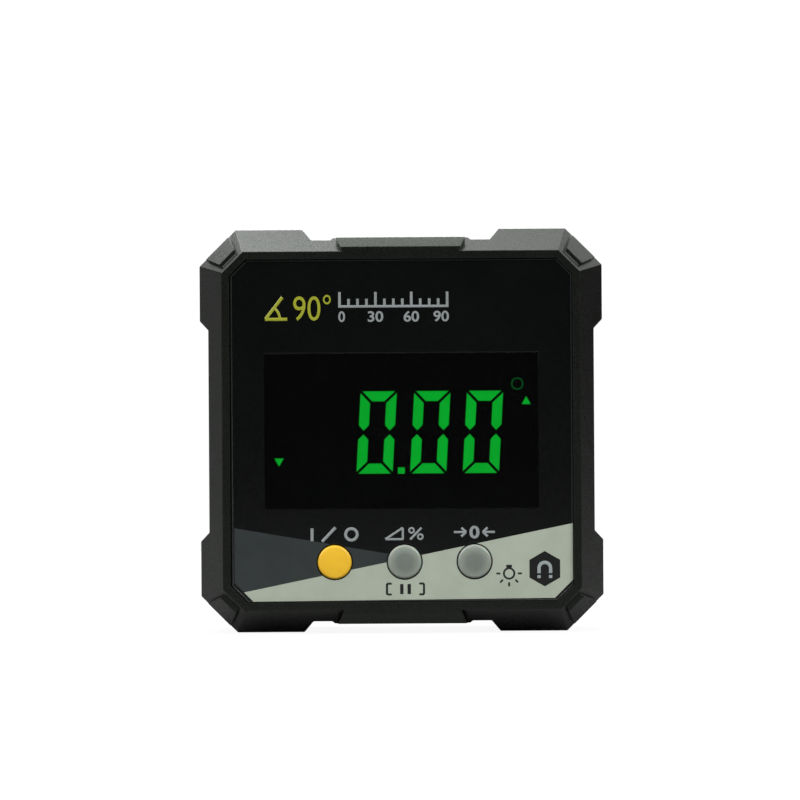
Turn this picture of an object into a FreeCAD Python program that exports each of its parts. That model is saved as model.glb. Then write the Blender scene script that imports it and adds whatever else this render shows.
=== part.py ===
import FreeCAD, Part
import math
import os
import re
import Sketcher

# Magnetic digital inclinometer for two AAA cells.
# X runs to the right of the face, Y from the face to the back, Z up.
# The origin is under the middle of the body, on the plane of the lower bumpers. Millimetres.

doc = FreeCAD.newDocument("inclinometer")
sheet = doc.addObject("Spreadsheet::Sheet", "Sizes")

sizes = [
    # outline and bevel
    ("cornerCut", 5.45, "corner of the outline, along each side"),
    ("rimInset", 3.5, "outline to the outer edge of the face rim"),
    ("rimCornerCut", 3.1, "corner of the face rim, along each side"),
    ("bevelDepth", 5.8, "how far back the face bevel runs"),
    ("sideInset", 1.35, "middle of each side below its bumpers"),
    ("notchDepth", 1.7, "notches beside the top and bottom blocks"),
    ("notchFlat", 0.85, "outline of a middle block to its notch"),
    ("notchWidth", 4.2, "notch, to the bumper"),
    ("bumperInnerZ", 16.5, "inner end of the left and right bumpers, from the middle"),
    ("bumperRun", 1.4, "sloping end of a bumper"),
    ("notchRun", 0.4, "sloping inner end of a notch"),
    ("backChamfer", 2, "edge of the back, each way"),
    ("seamFromBack", 4, "joint of housing and cover, from the back"),
    # middle blocks and corner pads on the bevel
    ("blockHalfTop", 9.65, "half width of a middle block at the outline"),
    ("blockHalfRim", 8.65, "half width of a middle block at the rim"),
    ("blockRise", 0.65, "front of a middle block beyond the rim"),
    ("padHalfInner", 1.4, "half width of a corner pad at its inner end"),
    ("padHalfOuter", 2.4, "half width of a corner pad at the outline"),
    ("padStart", 0.5, "rim corner to the front face of a corner pad"),
    ("padFront", 0.67, "width of that front face"),
    # walls and cavity
    ("sideWall", 2.9, "left and right walls, at the middle of the side"),
    ("grooveWall", 2, "wall under a pipe groove"),
    ("cavityCut", 1.5, "corner of the cavity, along each side"),
    ("frontWall", 1.4, "wall behind the face panel"),
    ("overrun", 1, "how far a cut runs past what it cuts"),
    # pipe grooves and magnets
    ("grooveMouth", 11, "width of a pipe groove at the bumpers"),
    ("grooveDepth", 3.6, "depth of a pipe groove from the bumpers"),
    ("grooveOffset", 1.4, "pipe groove behind the middle of the depth"),
    ("magnetRadius", 4, "disc magnet"),
    ("magnetThick", 2, "disc magnet"),
    ("magnetGap", 0.05, "play round a magnet"),
    ("magnetFloor", 1.2, "wall behind a magnet"),
    ("magnetX", 4.9, "magnet from the middle"),
    # face panel
    ("rimWidth", 1.15, "face rim"),
    ("panelCut", 2.4, "corner of the face panel"),
    ("panelThick", 1, "face panel"),
    ("panelGap", 0.05, "play round the face panel"),
    ("panelSunk", 0.4, "face panel below the rim"),
    ("windowMarginX", 1.9, "display glass beyond its opening, left and right"),
    ("windowMarginZ", 1.8, "display glass beyond its opening, above and below"),
    # keys
    ("keyRadius", 2.52, "key"),
    ("keyGap", 0.18, "play round a key"),
    ("keyPitch", 10.4, "key to key"),
    ("keyShift", 0.35, "middle key to the right of the middle"),
    ("keyProud", 0.2, "key above the face panel"),
    ("keyRound", 0.35, "rounding of the key's edge"),
    ("flangeRadius", 3.25, "flange that holds a key in"),
    ("flangeThick", 0.8, "flange that holds a key in"),
    ("stemRadius", 1.6, "stem under the flange"),
    ("keyTravel", 0.3, "how far a key goes in"),
    ("gasketThick", 0.4, "silicone sheet behind the key holes"),
    ("gasketHalfZ", 3.3, "half height of that sheet"),
    ("gasketEnd", 4.5, "outer keys to the ends of that sheet"),
    ("gasketDrop", 0.5, "sheet to the wall of the lower magnets"),
    ("flangeGap", 0.1, "flange to the sheet, at rest"),
    ("switchSide", 4.6, "tact switch body"),
    ("switchHeight", 1.5, "tact switch body"),
    ("plungerRadius", 1.15, "tact switch plunger"),
    ("plungerGap", 0.15, "play round a plunger"),
    ("plungerSunk", 0.85, "plunger inside its switch, at rest"),
    ("stemSpare", 0.15, "stem above the switch body, key pressed"),
    # display
    ("glassWidth", 45, "display glass"),
    ("glassHeight", 27, "display glass"),
    ("glassThick", 2, "display glass"),
    ("glassGap", 0.1, "play round and in front of the display glass"),
    ("frameWall", 1.3, "holder round the display"),
    ("holderRoom", 2, "least room beside the holder"),
    ("keyRoom", 1.2, "least room between holder and key sheet"),
    ("lampMarginX", 1.5, "display glass beyond the backlight block, left and right"),
    ("lampMarginZ", 2.7, "display glass beyond the backlight block, above and below"),
    ("lampThick", 2.4, "backlight block"),
    ("stripMargin", 2.5, "display glass beyond the ends of the contact strips"),
    ("stripWidth", 1.8, "contact strips"),
    ("stripEdge", 1.3, "middle of a contact strip to the edge of the display glass"),
    ("ledSide", 1.2, "lamp of the backlight, across"),
    ("ledWidth", 2.6, "lamp of the backlight, up"),
    ("ledHeight", 1.6, "lamp of the backlight, off the board"),
    ("ledGap", 0.1, "lamp to the backlight block"),
    ("ledOffset", 5, "lamps above and below the middle"),
    # circuit board
    ("boardThick", 1.2, "circuit board"),
    ("boardGapX", 0.7, "circuit board to the side walls"),
    ("boardGapZ", 0.3, "circuit board to the magnet walls"),
    ("boardBossGap", 0.4, "circuit board to the case screw posts"),
    ("boardPostRadius", 1.9, "post under the circuit board"),
    ("boardPilot", 0.75, "pilot hole in that post"),
    ("boardPilotDepth", 3.6, "pilot hole in that post"),
    ("boardPostEdge", 3.5, "board posts to the upper and lower edges of the board"),
    ("boardScrewHead", 1.5, "radius of a board screw's head"),
    ("boardHeadThick", 0.8, "head of a board screw"),
    ("boardScrewLength", 4, "board screw under its head"),
    ("screwGap", 0.05, "play round a screw in its pilot hole"),
    ("boardHoleGap", 0.25, "play round a screw in the board"),
    ("chipSide", 7, "controller"),
    ("chipThick", 0.9, "controller"),
    ("chipX", 5, "controller to the left of the middle"),
    ("sensorSide", 3, "tilt sensor"),
    ("sensorThick", 1, "tilt sensor"),
    ("sensorX", 4.5, "tilt sensor to the right of the middle"),
    ("capLength", 2, "capacitors"),
    ("capWidth", 1.2, "capacitors"),
    ("capThick", 0.8, "capacitors"),
    ("capPitch", 3.2, "capacitors"),
    ("capX", 9, "first capacitor to the right of the middle"),
    ("capGap", 1.1, "battery bay to the capacitors"),
    ("chipGap", 0.2, "battery bay to the controller"),
    # case screws
    ("bossRadius", 2.9, "post for a case screw"),
    ("bossBite", 0.4, "how far a post runs into the walls beside it"),
    ("casePilot", 1.1, "pilot hole in that post"),
    ("casePilotDepth", 11, "pilot hole in that post"),
    ("caseHeadRadius", 1.95, "head of a case screw"),
    ("caseHeadThick", 1.3, "head of a case screw"),
    ("caseHeadGap", 0.25, "play round that head"),
    ("caseHeadSunk", 1.9, "depth of the hole for that head"),
    ("caseHoleGap", 0.2, "play round the screw in the cover"),
    ("caseScrewLength", 10.5, "case screw under its head"),
    ("crossLength", 2.2, "cross recess of a case screw"),
    ("crossWidth", 0.5, "cross recess of a case screw"),
    ("crossDepth", 0.7, "cross recess of a case screw"),
    # seal between housing and cover
    ("sealWidth", 1.2, "sealing ring"),
    ("sealHeight", 1, "sealing ring"),
    ("sealGap", 0.05, "play beside the sealing ring"),
    ("sealFromWall", 1.3, "cavity wall to the middle of the ring"),
    ("sealCornerCut", 2.1, "corner of the sealing ring"),
    # rear cover
    ("tongueThick", 1.2, "tongue of the cover inside the housing"),
    ("tongueLength", 1.5, "tongue of the cover inside the housing"),
    ("tongueGap", 0.15, "play between tongue and housing"),
    ("coreDepth", 2, "hollows cored out of the cover"),
    ("coreMargin", 2.8, "wall left beside those hollows"),
    ("bayWall", 1.2, "battery bay"),
    ("bayGap", 0.3, "battery bay to the housing walls"),
    ("bayRoom", 0.75, "battery bay beside the cells"),
    ("ridgeWidth", 0.7, "ridge between the cells"),
    ("ridgeHeight", 4, "ridge between the cells"),
    ("ridgeShort", 2.5, "ridge short of the bay's ends"),
    # cells and contacts
    ("cellRadius", 5.25, "AAA cell"),
    ("cellLength", 44.5, "AAA cell with its button"),
    ("cellButton", 1.9, "radius of a cell's button"),
    ("cellButtonLength", 1, "button of a cell"),
    ("cellLift", 0.45, "cell above the bay floor"),
    ("boardBackSpace", 2.4, "circuit board to the battery bay"),
    ("cellEdge", 0.5, "edges of a cell"),
    ("cellHollow", 0.3, "ring hollow round a cell's button"),
    ("contactThick", 0.4, "contact plates"),
    ("contactHalf", 4.4, "half width of a contact plate"),
    ("contactLow", 1.6, "foot of the contact plates, above the bay floor"),
    ("contactHigh", 10, "top of the contact plates, above the bay floor"),
    ("tailHalf", 1.25, "half width of a contact's tail"),
    ("tailGap", 0.25, "play round a tail in the bay floor"),
    ("wireRadius", 0.3, "spring wire"),
    ("springWide", 3.3, "coil radius of a cell spring, at the plate"),
    ("springNarrow", 2.1, "coil radius of a cell spring, at the cell"),
    ("springTurns", 2.5, "turns of a cell spring"),
    ("springSides", 8, "flats round the spring wire"),
    ("springSpace", 3.5, "length of a fitted cell spring with its play"),
    ("springGap", 0.02, "spring to its plate and its cell"),
    # battery door
    ("doorThick", 1.6, "battery door"),
    ("doorGap", 0.15, "play round the battery door"),
    ("ledgeWidth", 1.1, "ledge that the battery door closes on"),
    ("doorSealThick", 0.4, "seal under the battery door"),
    ("doorSealGap", 0.3, "door seal in from the edge of the ledge"),
    ("doorSealWidth", 0.7, "seal under the battery door"),
    ("doorChamfer", 0.4, "outer edge of the battery door"),
    ("hookX", 14, "hooks from the middle"),
    ("hookWidth", 5, "hooks of the battery door"),
    ("hookThick", 0.8, "hooks of the battery door"),
    ("hookReach", 1, "hook beyond the bay wall"),
    ("hookLeg", 1, "leg that carries a hook"),
    ("hookLegGap", 0.2, "hook's leg to the bay wall"),
    ("hookDrop", 1.1, "door's inner face to the hook"),
    ("hookSlotGap", 0.3, "play round a hook in its slot"),
    ("tongueHalf", 5.6, "half width of the door's spring tongue"),
    ("tongueSlit", 0.7, "slits beside the spring tongue"),
    ("tongueHeight", 7, "height of the spring tongue"),
    ("gripDepth", 0.5, "hollow with grip ridges in the spring tongue"),
    ("gripRidge", 0.5, "a grip ridge"),
    ("gripPitch", 1.1, "grip ridges"),
    ("gripMargin", 1, "edge left round the grip hollow"),
    ("scoopHalf", 4.5, "half width of the finger scoop in the cover"),
    ("scoopHeight", 2.4, "height of the finger scoop"),
    ("scoopDepth", 1.2, "depth of the finger scoop"),
    ("padThick", 2, "foam strip inside the door"),
    ("padGap", 0.35, "foam strip to the cells"),
    ("padLength", 26, "foam strip inside the door"),
    ("padHeight", 14, "foam strip inside the door"),
]

for row, (alias, value, note) in enumerate(sizes, start=1):
    sheet.set("A%d" % row, alias)
    sheet.set("B%d" % row, str(value))
    sheet.set("C%d" % row, note)
    sheet.setAlias("B%d" % row, alias)
doc.recompute()

aliases = {alias for alias, _, _ in sizes}
capCount = 3
gripCount = 4

# Places and measures that follow from the sizes, each as a formula
places = [
    # battery bay, from the cells
    ("contactX", "(cellLength + springSpace) / 2", "inner face of a contact, from the middle"),
    ("bayX", "contactX + contactThick", "half the battery bay's width"),
    ("cellPitch", "2 * cellRadius + ridgeWidth", "cell to cell"),
    ("bayZ", "cellPitch / 2 + cellRadius + bayRoom", "half the battery bay's height"),
    ("doorX", "bayX + ledgeWidth", "half the door seat's width"),
    ("doorZ", "bayZ + ledgeWidth", "half the door seat's height"),
    # the outline, from whatever inside needs most room
    ("holderX", "glassWidth / 2 + glassGap + frameWall", "half the display holder's width"),
    ("holderZ", "glassHeight / 2 + glassGap + frameWall", "half the display holder's height"),
    ("insideX", "max(bayX + bayWall + bayGap; holderX + holderRoom)", "least half width of the cavity"),
    ("insideZ", "holderZ + keyRoom + 2 * gasketHalfZ + gasketDrop", "least height of the lower magnet wall"),
    ("needX", "insideX + sideWall + sideInset", "half width that the cells and display need"),
    ("needZ", "insideZ + magnetFloor + magnetThick + grooveDepth", "half height that the keys need"),
    ("half", "max(needX; needZ)", "half the outline's side"),
    ("bodySide", "2 * half", "width and height over the bumpers"),
    ("rimHalf", "half - rimInset", "face rim, from the middle"),
    ("panelHalf", "rimHalf - rimWidth - panelGap", "half the face panel's side"),
    ("sideFlat", "half - sideInset", "middle of a side, from the middle"),
    ("notchInnerX", "blockHalfTop + notchFlat", "inner end of a notch, from the middle"),
    ("bumperInnerX", "notchInnerX + notchWidth", "inner end of the upper and lower bumpers"),
    ("cavityX", "sideFlat - sideWall", "side wall of the cavity"),
    ("grooveFloor", "half - grooveDepth", "floor of a pipe groove"),
    ("cavityZ", "grooveFloor - grooveWall", "upper wall of the cavity"),
    ("magnetWallZ", "grooveFloor - magnetThick - magnetFloor", "cavity wall behind the magnets"),
    ("magnetWallX", "magnetX + magnetRadius + magnetFloor", "end of that wall"),
    # the depth, piece by piece from the face to the back
    ("stackDepth", "panelSunk + panelThick + frontWall + glassGap + glassThick", "face rim to the backlight"),
    ("boardDepth", "stackDepth + lampThick + boardThick + boardBackSpace", "face rim to the battery bay"),
    ("bayDepth", "cellLift + 2 * cellRadius + padGap + padThick", "bay floor to the door"),
    ("bodyDepth", "boardDepth + bayWall + bayDepth + doorThick", "face rim to back"),
    ("front", "-bodyDepth / 2", "front of the face rim"),
    ("back", "bodyDepth / 2", "back face"),
    ("seam", "back - seamFromBack", "joint of housing and cover"),
    ("panelY", "front + panelSunk", "front of the face panel"),
    ("ledgeY", "panelY + panelThick", "ledge behind the face panel"),
    ("innerY", "ledgeY + frontWall", "inside of the front wall"),
    ("glassY", "innerY + glassGap", "front of the display glass"),
    ("lampY", "glassY + glassThick", "front of the backlight block"),
    ("boardY", "lampY + lampThick", "front of the circuit board"),
    ("boardBackY", "boardY + boardThick", "back of the circuit board"),
    ("bayFloorY", "boardBackY + boardBackSpace + bayWall", "floor of the battery bay"),
    ("cellY", "bayFloorY + cellLift + cellRadius", "middle of the cells"),
    ("doorInnerY", "back - doorThick", "inner face of the battery door"),
    ("caseHeadY", "back - caseHeadSunk", "seat of a case screw's head"),
    # keys
    ("keyDrop", "magnetWallZ - gasketDrop - gasketHalfZ", "keys below the middle"),
    ("gasketHalfX", "keyPitch + gasketEnd", "half length of the key sheet"),
    ("holeRadius", "keyRadius + keyGap", "key hole"),
    ("keyY", "panelY - keyProud", "front of a key"),
    ("flangeY", "innerY + gasketThick + flangeGap", "front of a key's flange"),
    ("switchY", "boardY - switchHeight", "front of a switch body"),
    ("stemY", "switchY - keyTravel - stemSpare", "end of a key's stem"),
    # display
    ("windowX", "glassWidth / 2 - windowMarginX", "half the display opening's width"),
    ("windowZ", "glassHeight / 2 - windowMarginZ", "half the display opening's height"),
    ("lampX", "glassWidth / 2 - lampMarginX", "half the backlight's width"),
    ("lampZ", "glassHeight / 2 - lampMarginZ", "half the backlight's height"),
    ("stripX", "glassWidth / 2 - stripMargin", "half a contact strip's length"),
    ("stripZ", "glassHeight / 2 - stripEdge", "contact strips from the middle"),
    # circuit board and screw posts
    ("bossX", "cavityX - bossRadius + bossBite", "post for a case screw"),
    ("bossZ", "cavityZ - bossRadius + bossBite", "post for a case screw"),
    ("boardX", "cavityX - boardGapX", "half the circuit board's width"),
    ("boardZ", "magnetWallZ - boardGapZ", "half the circuit board's height"),
    ("boardNotchX", "bossX - bossRadius - boardBossGap", "corner notches of the board"),
    ("boardNotchZ", "bossZ - bossRadius - boardBossGap", "corner notches of the board"),
    ("boardUpperX", "magnetWallX + boardPostRadius", "upper board posts from the middle"),
    ("boardLowerX", "boardNotchX - boardPostRadius", "lower board posts from the middle"),
    ("boardPostZ", "boardZ - boardPostEdge", "board posts above and below the middle"),
    ("chipZ", "bayZ + bayWall + chipGap + chipSide / 2", "controller and sensor above the middle"),
    ("capZ", "bayZ + bayWall + capGap + capWidth / 2", "capacitors above the middle"),
]


def linked(formula):
    """The formula with each size and place tied to where the document keeps it."""
    return re.sub(r"[A-Za-z]+", lambda word: tied(word.group(0)), formula)


def tied(word):
    if word in aliases:
        return "Sizes." + word
    return "Places." + word if word in placeNames else word


def number(alias):
    return float(sheet.get(alias))


def bind(thing, **formulas):
    for name, formula in formulas.items():
        thing.setExpression(name.replace("_", "."), linked(formula))


placeNames = {name for name, _, _ in places}
worked = doc.addObject("App::VarSet", "Places")
for name, formula, note in places:
    worked.addProperty("App::PropertyFloat", name, "Places", note)
    bind(worked, **{name: formula})
doc.recompute()


# Bodies and sketches

def newBody(label):
    body = doc.addObject("PartDesign::Body", label + "_body")
    body.Label = label
    return body


def sketchOn(body, name, role, across, up, along):
    """A sketch on an origin plane, moved by formulas: across and up in the plane, along its normal."""
    sketch = body.newObject("Sketcher::SketchObject", name)
    plane = [item for item in body.Origin.OriginFeatures if item.Role == role][0]
    sketch.AttachmentSupport = [(plane, "")]
    sketch.MapMode = "FlatFace"
    bind(sketch, AttachmentOffset_Base_x=across, AttachmentOffset_Base_y=up, AttachmentOffset_Base_z=along)
    return sketch


def faceSketch(body, name, y):
    """A sketch seen from the front, about the middle of the face, at the depth y."""
    return sketchOn(body, name, "XZ_Plane", "0", "half", "-(" + y + ")")


def loop(sketch, corners):
    """A closed outline of straight lines whose corners are pairs of formulas."""
    first = sketch.GeometryCount
    count = len(corners)
    turn = 2 * math.pi / count
    radius = worked.bodySide
    start = [
        FreeCAD.Vector(radius * math.cos(turn * i), radius * math.sin(turn * i), 0)
        for i in range(count)
    ]
    for i in range(count):
        sketch.addGeometry(Part.LineSegment(start[i], start[(i + 1) % count]), False)
    for i in range(count):
        following = first + (i + 1) % count
        sketch.addConstraint(Sketcher.Constraint("Coincident", first + i, 2, following, 1))
    for i, (x, y) in enumerate(corners):
        place(sketch, first + i, 1, x, y, start[i])


def place(sketch, item, point, x, y, start):
    """Ties a point of the sketch to formulas for its distance from the sketch's origin."""
    for kind, formula, value in (("DistanceX", x, start.x), ("DistanceY", y, start.y)):
        index = sketch.addConstraint(Sketcher.Constraint(kind, -1, 1, item, point, value))
        sketch.setExpression("Constraints[%d]" % index, linked(formula))


def circle(sketch, x, y, radius):
    start = FreeCAD.Vector(number("keyRadius"), number("keyRadius"), 0)
    item = sketch.addGeometry(Part.Circle(start, FreeCAD.Vector(0, 0, 1), number("keyRadius")), False)
    place(sketch, item, 3, x, y, start)
    index = sketch.addConstraint(Sketcher.Constraint("Radius", item, number("keyRadius")))
    sketch.setExpression("Constraints[%d]" % index, linked(radius))


def rectangle(sketch, x, y, halfX, halfY):
    loop(sketch, box(x, y, halfX, halfY))


def box(x, y, halfX, halfY):
    signs = ((-1, -1), (1, -1), (1, 1), (-1, 1))
    return [
        ("%s + %d * (%s)" % (x, a, halfX), "%s + %d * (%s)" % (y, b, halfY))
        for a, b in signs
    ]


def octagon(halfX, halfY, cut):
    """A rectangle about the origin with its corners cut off."""
    lower = ("(%s)" % halfX, "(%s - (%s))" % (halfY, cut))
    upper = ("(%s - (%s))" % (halfX, cut), "(%s)" % halfY)
    return mirrored([lower, upper])


def mirrored(quarter):
    """The corners of the first quarter, followed by their mirror images round the other three."""
    reverse = quarter[::-1]
    corners = list(quarter)
    corners += [("-" + x, y) for x, y in reverse]
    corners += [("-" + x, "-" + y) for x, y in quarter]
    corners += [(x, "-" + y) for x, y in reverse]
    return corners


def pad(body, name, sketch, length, reverse=False):
    """Raises a sketch along its normal, which for a face sketch is towards the front."""
    feature = body.newObject("PartDesign::Pad", name)
    feature.Profile = sketch
    feature.Reversed = reverse
    bind(feature, Length=length)
    return feature


def pocket(body, name, sketch, depth, reverse=False):
    """Cuts against a sketch's normal, which for a face sketch is towards the back."""
    feature = body.newObject("PartDesign::Pocket", name)
    feature.Profile = sketch
    feature.Reversed = reverse
    bind(feature, Length=depth)
    return feature


def edgesAt(shape, y):
    """The names of the edges that lie in the plane of that depth."""
    tiny = number("screwGap") / worked.bodySide
    names = []
    for i, edge in enumerate(shape.Edges, start=1):
        box = edge.BoundBox
        if abs(box.YMin - y) < tiny and abs(box.YMax - y) < tiny:
            names.append("Edge%d" % i)
    return names


def loft(body, name, sections):
    feature = body.newObject("PartDesign::AdditiveLoft", name)
    feature.Profile = sections[0]
    feature.Sections = sections[1:]
    feature.Ruled = True
    return feature


def revolve(body, name, sketch, axis):
    feature = body.newObject("PartDesign::Revolution", name)
    feature.Profile = sketch
    feature.ReferenceAxis = (sketch, [axis])
    feature.Angle = 360
    return feature


# Simple solids

def block(name, x, y, z, halfX, halfZ, depth):
    """A box about x and z, from y towards the back."""
    solid = doc.addObject("Part::Box", name)
    bind(
        solid,
        Length="2 * (%s)" % halfX,
        Width=depth,
        Height="2 * (%s)" % halfZ,
        Placement_Base_x="%s - (%s)" % (x, halfX),
        Placement_Base_y=y,
        Placement_Base_z="half + %s - (%s)" % (z, halfZ),
    )
    return solid


def rod(name, x, y, z, radius, length, turn):
    """A cylinder that starts at x, y, z above the middle and runs along its turned Z axis."""
    solid = doc.addObject("Part::Cylinder", name)
    solid.Placement = FreeCAD.Placement(FreeCAD.Vector(), turn)
    bind(
        solid,
        Radius=radius,
        Height=length,
        Placement_Base_x=x,
        Placement_Base_y=y,
        Placement_Base_z="half + %s" % z,
    )
    return solid


towardsBack = FreeCAD.Rotation(FreeCAD.Vector(1, 0, 0), -90)
upwards = FreeCAD.Rotation()
halfTurn = FreeCAD.Rotation(FreeCAD.Vector(0, 0, 1), 180)


def group(label, solids):
    """Separate solids under one name."""
    compound = doc.addObject("Part::Compound", label + "_group")
    compound.Links = solids
    compound.Label = label
    return compound


def cutOut(name, base, tool):
    result = doc.addObject("Part::Cut", name)
    result.Base = base
    result.Tool = tool
    return result


# Outline shared by the housing and the cover

def cutSides(body, y, depth):
    """Lowers the middle of each side between its bumpers, with a notch beside each middle block."""
    sketch = faceSketch(body, "side_cuts", y)
    outside = "(half + overrun)"
    for sign in ("", "-"):
        upper = [
            (sign + outside, "bumperInnerZ"),
            (sign + "half", "bumperInnerZ"),
            (sign + "sideFlat", "(bumperInnerZ - bumperRun)"),
        ]
        loop(sketch, upper + [(x, "-" + z) for x, z in upper[::-1]])
        right = [
            ("bumperInnerX", sign + outside),
            ("bumperInnerX", sign + "half"),
            ("(bumperInnerX - bumperRun)", "%s(half - notchDepth)" % sign),
            ("notchInnerX", "%s(half - notchDepth)" % sign),
            ("(notchInnerX - notchRun)", sign + "sideFlat"),
        ]
        loop(sketch, right + [("-" + x, z) for x, z in right[::-1]])
    pocket(body, "sides", sketch, depth)


def cavity(inset):
    """The inside of the housing, with a step at each magnet wall."""
    x = "(cavityX - (%s))" % inset
    z = "(cavityZ - (%s))" % inset
    step = "(magnetWallZ - (%s))" % inset
    stepX = "(magnetWallX + (%s))" % inset
    quarter = [(x, "(%s - cavityCut)" % z), ("(%s - cavityCut)" % x, z), (stepX, z), (stepX, step)]
    return mirrored(quarter)


def corners(action, *rest):
    for signX in ("", "-"):
        for signZ in ("", "-"):
            action(signX, signZ, *rest)


def bossCircles(sketch, radius):
    corners(lambda a, b: circle(sketch, a + "bossX", b + "bossZ", radius))


def boardPosts():
    upper = [(sign + "boardUpperX", "boardPostZ") for sign in ("", "-")]
    lower = [(sign + "boardLowerX", "-boardPostZ") for sign in ("", "-")]
    return upper + lower


def keyPlaces():
    return [("power", "(keyShift - keyPitch)"), ("hold", "keyShift"), ("zero", "(keyShift + keyPitch)")]


# Front housing

def diagonal(along, across):
    """A point of the upper right corner, given along and across the diagonal of the face."""
    return ("((%s) + (%s)) / sqrt(2)" % (along, across), "((%s) - (%s)) / sqrt(2)" % (along, across))


def cornerPads(body, axisSketch):
    """Raised pads on the corner bevels, made once and turned round the face."""
    outer = "((bodySide - cornerCut) / sqrt(2))"
    rim = "((2 * rimHalf - rimCornerCut) / sqrt(2))"
    inner = "(%s + padStart)" % rim
    edge = "(%s + padFront)" % inner
    frontY = "(front + bevelDepth * padStart / (%s - %s))" % (outer, rim)
    edgeHalf = "(padHalfInner + (padHalfOuter - padHalfInner) * padFront / (%s - %s))" % (outer, inner)
    rearY = "(%s + bevelDepth * (%s - %s) / (%s - %s))" % (frontY, outer, edge, outer, rim)
    small = faceSketch(body, "pad_front", frontY)
    loop(small, padCorners(inner, "padHalfInner", edge, edgeHalf))
    large = faceSketch(body, "pad_rear", rearY)
    loop(large, padCorners(inner, "padHalfInner", outer, "padHalfOuter"))
    slope = loft(body, "pad_slope", [small, large])
    straight = pad(body, "pad_body", large, "front + bevelDepth - %s" % rearY, reverse=True)
    doc.recompute()
    around = body.newObject("PartDesign::PolarPattern", "pads")
    around.Originals = [slope, straight]
    around.Axis = (axisSketch, ["N_Axis"])
    around.Angle = 360
    around.Occurrences = 4
    body.Tip = around


def padCorners(inner, innerHalf, outer, outerHalf):
    return [
        diagonal(inner, innerHalf),
        diagonal(outer, outerHalf),
        diagonal(outer, "-(%s)" % outerHalf),
        diagonal(inner, "-(%s)" % innerHalf),
    ]


def middleBlocks(body):
    """The blocks in the middle of the top and bottom bevels."""
    sketch = faceSketch(body, "middle_blocks", "front")
    low = "(rimHalf - overrun)"
    slant = "(blockHalfRim - overrun * (blockHalfTop - blockHalfRim) / (sideFlat - rimHalf))"
    for sign in ("", "-"):
        side = [(slant, sign + low), ("blockHalfTop", sign + "sideFlat")]
        loop(sketch, side + [("-" + x, z) for x, z in side[::-1]])
    pad(body, "blocks", sketch, "bevelDepth", reverse=True)
    sketch = sketchOn(body, "block_bevels", "YZ_Plane", "0", "half", "-half")
    low = "(rimHalf + blockRise)"
    rise = "(sideFlat - %s + overrun)" % low
    for sign in ("", "-"):
        cornersYZ = [
            ("front", sign + low),
            ("(front + %s)" % rise, "%s(%s + %s)" % (sign, low, rise)),
            ("(front - overrun)", "%s(%s + %s)" % (sign, low, rise)),
            ("(front - overrun)", sign + low),
        ]
        loop(sketch, cornersYZ)
    pocket(body, "block_bevel", sketch, "bodySide", reverse=True)


def cutGrooves(body):
    """A pipe groove along the top and the bottom."""
    sketch = sketchOn(body, "pipe_grooves", "YZ_Plane", "grooveOffset", "half", "-(half + overrun)")
    mouth = "(grooveMouth / 2 + overrun)"
    floor = "(grooveMouth / 2 - grooveDepth)"
    for sign in ("", "-"):
        side = [(mouth, "%s(half + overrun)" % sign), (floor, sign + "grooveFloor")]
        loop(sketch, side + [("-" + y, z) for y, z in side[::-1]])
    pocket(body, "grooves", sketch, "bodySide + 2 * overrun", reverse=True)


def cutMagnetPockets(body):
    """Round pockets for the magnets, from the pipe grooves."""
    upper = sketchOn(body, "upper_magnets", "XY_Plane", "0", "grooveOffset", "bodySide + overrun")
    lower = sketchOn(body, "lower_magnets", "XY_Plane", "0", "grooveOffset", "-overrun")
    for sketch in (upper, lower):
        circle(sketch, "magnetX", "0", "magnetRadius + magnetGap")
        circle(sketch, "-magnetX", "0", "magnetRadius + magnetGap")
    depth = "grooveDepth + magnetThick + overrun"
    pocket(body, "upper_magnet_pockets", upper, depth)
    pocket(body, "lower_magnet_pockets", lower, depth, reverse=True)


def frontHousing():
    body = newBody("front_housing")
    rim = faceSketch(body, "rim", "front")
    loop(rim, octagon("rimHalf", "rimHalf", "rimCornerCut"))
    shoulder = faceSketch(body, "shoulder", "front + bevelDepth")
    loop(shoulder, octagon("half", "half", "cornerCut"))
    loft(body, "face_bevel", [rim, shoulder])
    pad(body, "walls", shoulder, "seam - front - bevelDepth", reverse=True)
    cornerPads(body, rim)
    cutSides(body, "front - overrun", "bodyDepth + 2 * overrun")
    middleBlocks(body)
    recess = faceSketch(body, "panel_recess", "front - overrun")
    recessHalf = "(panelHalf + panelGap)"
    loop(recess, octagon(recessHalf, recessHalf, "panelCut"))
    pocket(body, "recess", recess, "panelSunk + panelThick + overrun")
    inside = faceSketch(body, "inside", "seam")
    loop(inside, cavity("0"))
    pocket(body, "cavity", inside, "seam - innerY", reverse=True)
    posts = faceSketch(body, "case_posts", "seam")
    bossCircles(posts, "bossRadius")
    pad(body, "posts", posts, "seam - innerY")
    boardSketch = faceSketch(body, "board_posts", "boardY")
    for x, z in boardPosts():
        circle(boardSketch, x, z, "boardPostRadius")
    pad(body, "short_posts", boardSketch, "boardY - innerY")
    pilots = faceSketch(body, "case_pilots", "seam")
    bossCircles(pilots, "casePilot")
    pocket(body, "pilots", pilots, "casePilotDepth", reverse=True)
    small = faceSketch(body, "board_pilots", "boardY")
    for x, z in boardPosts():
        circle(small, x, z, "boardPilot")
    pocket(body, "short_pilots", small, "boardPilotDepth", reverse=True)
    openings = faceSketch(body, "openings", "ledgeY - overrun")
    rectangle(openings, "0", "0", "windowX", "windowZ")
    for _, x in keyPlaces():
        circle(openings, x, "-keyDrop", "holeRadius")
    pocket(body, "window_and_key_holes", openings, "frontWall + 2 * overrun")
    seal = faceSketch(body, "seal_groove", "seam")
    sealRing(seal, "sealWidth / 2 + sealGap")
    pocket(body, "seal_seat", seal, "sealHeight", reverse=True)
    cutGrooves(body)
    cutMagnetPockets(body)
    return body


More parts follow.
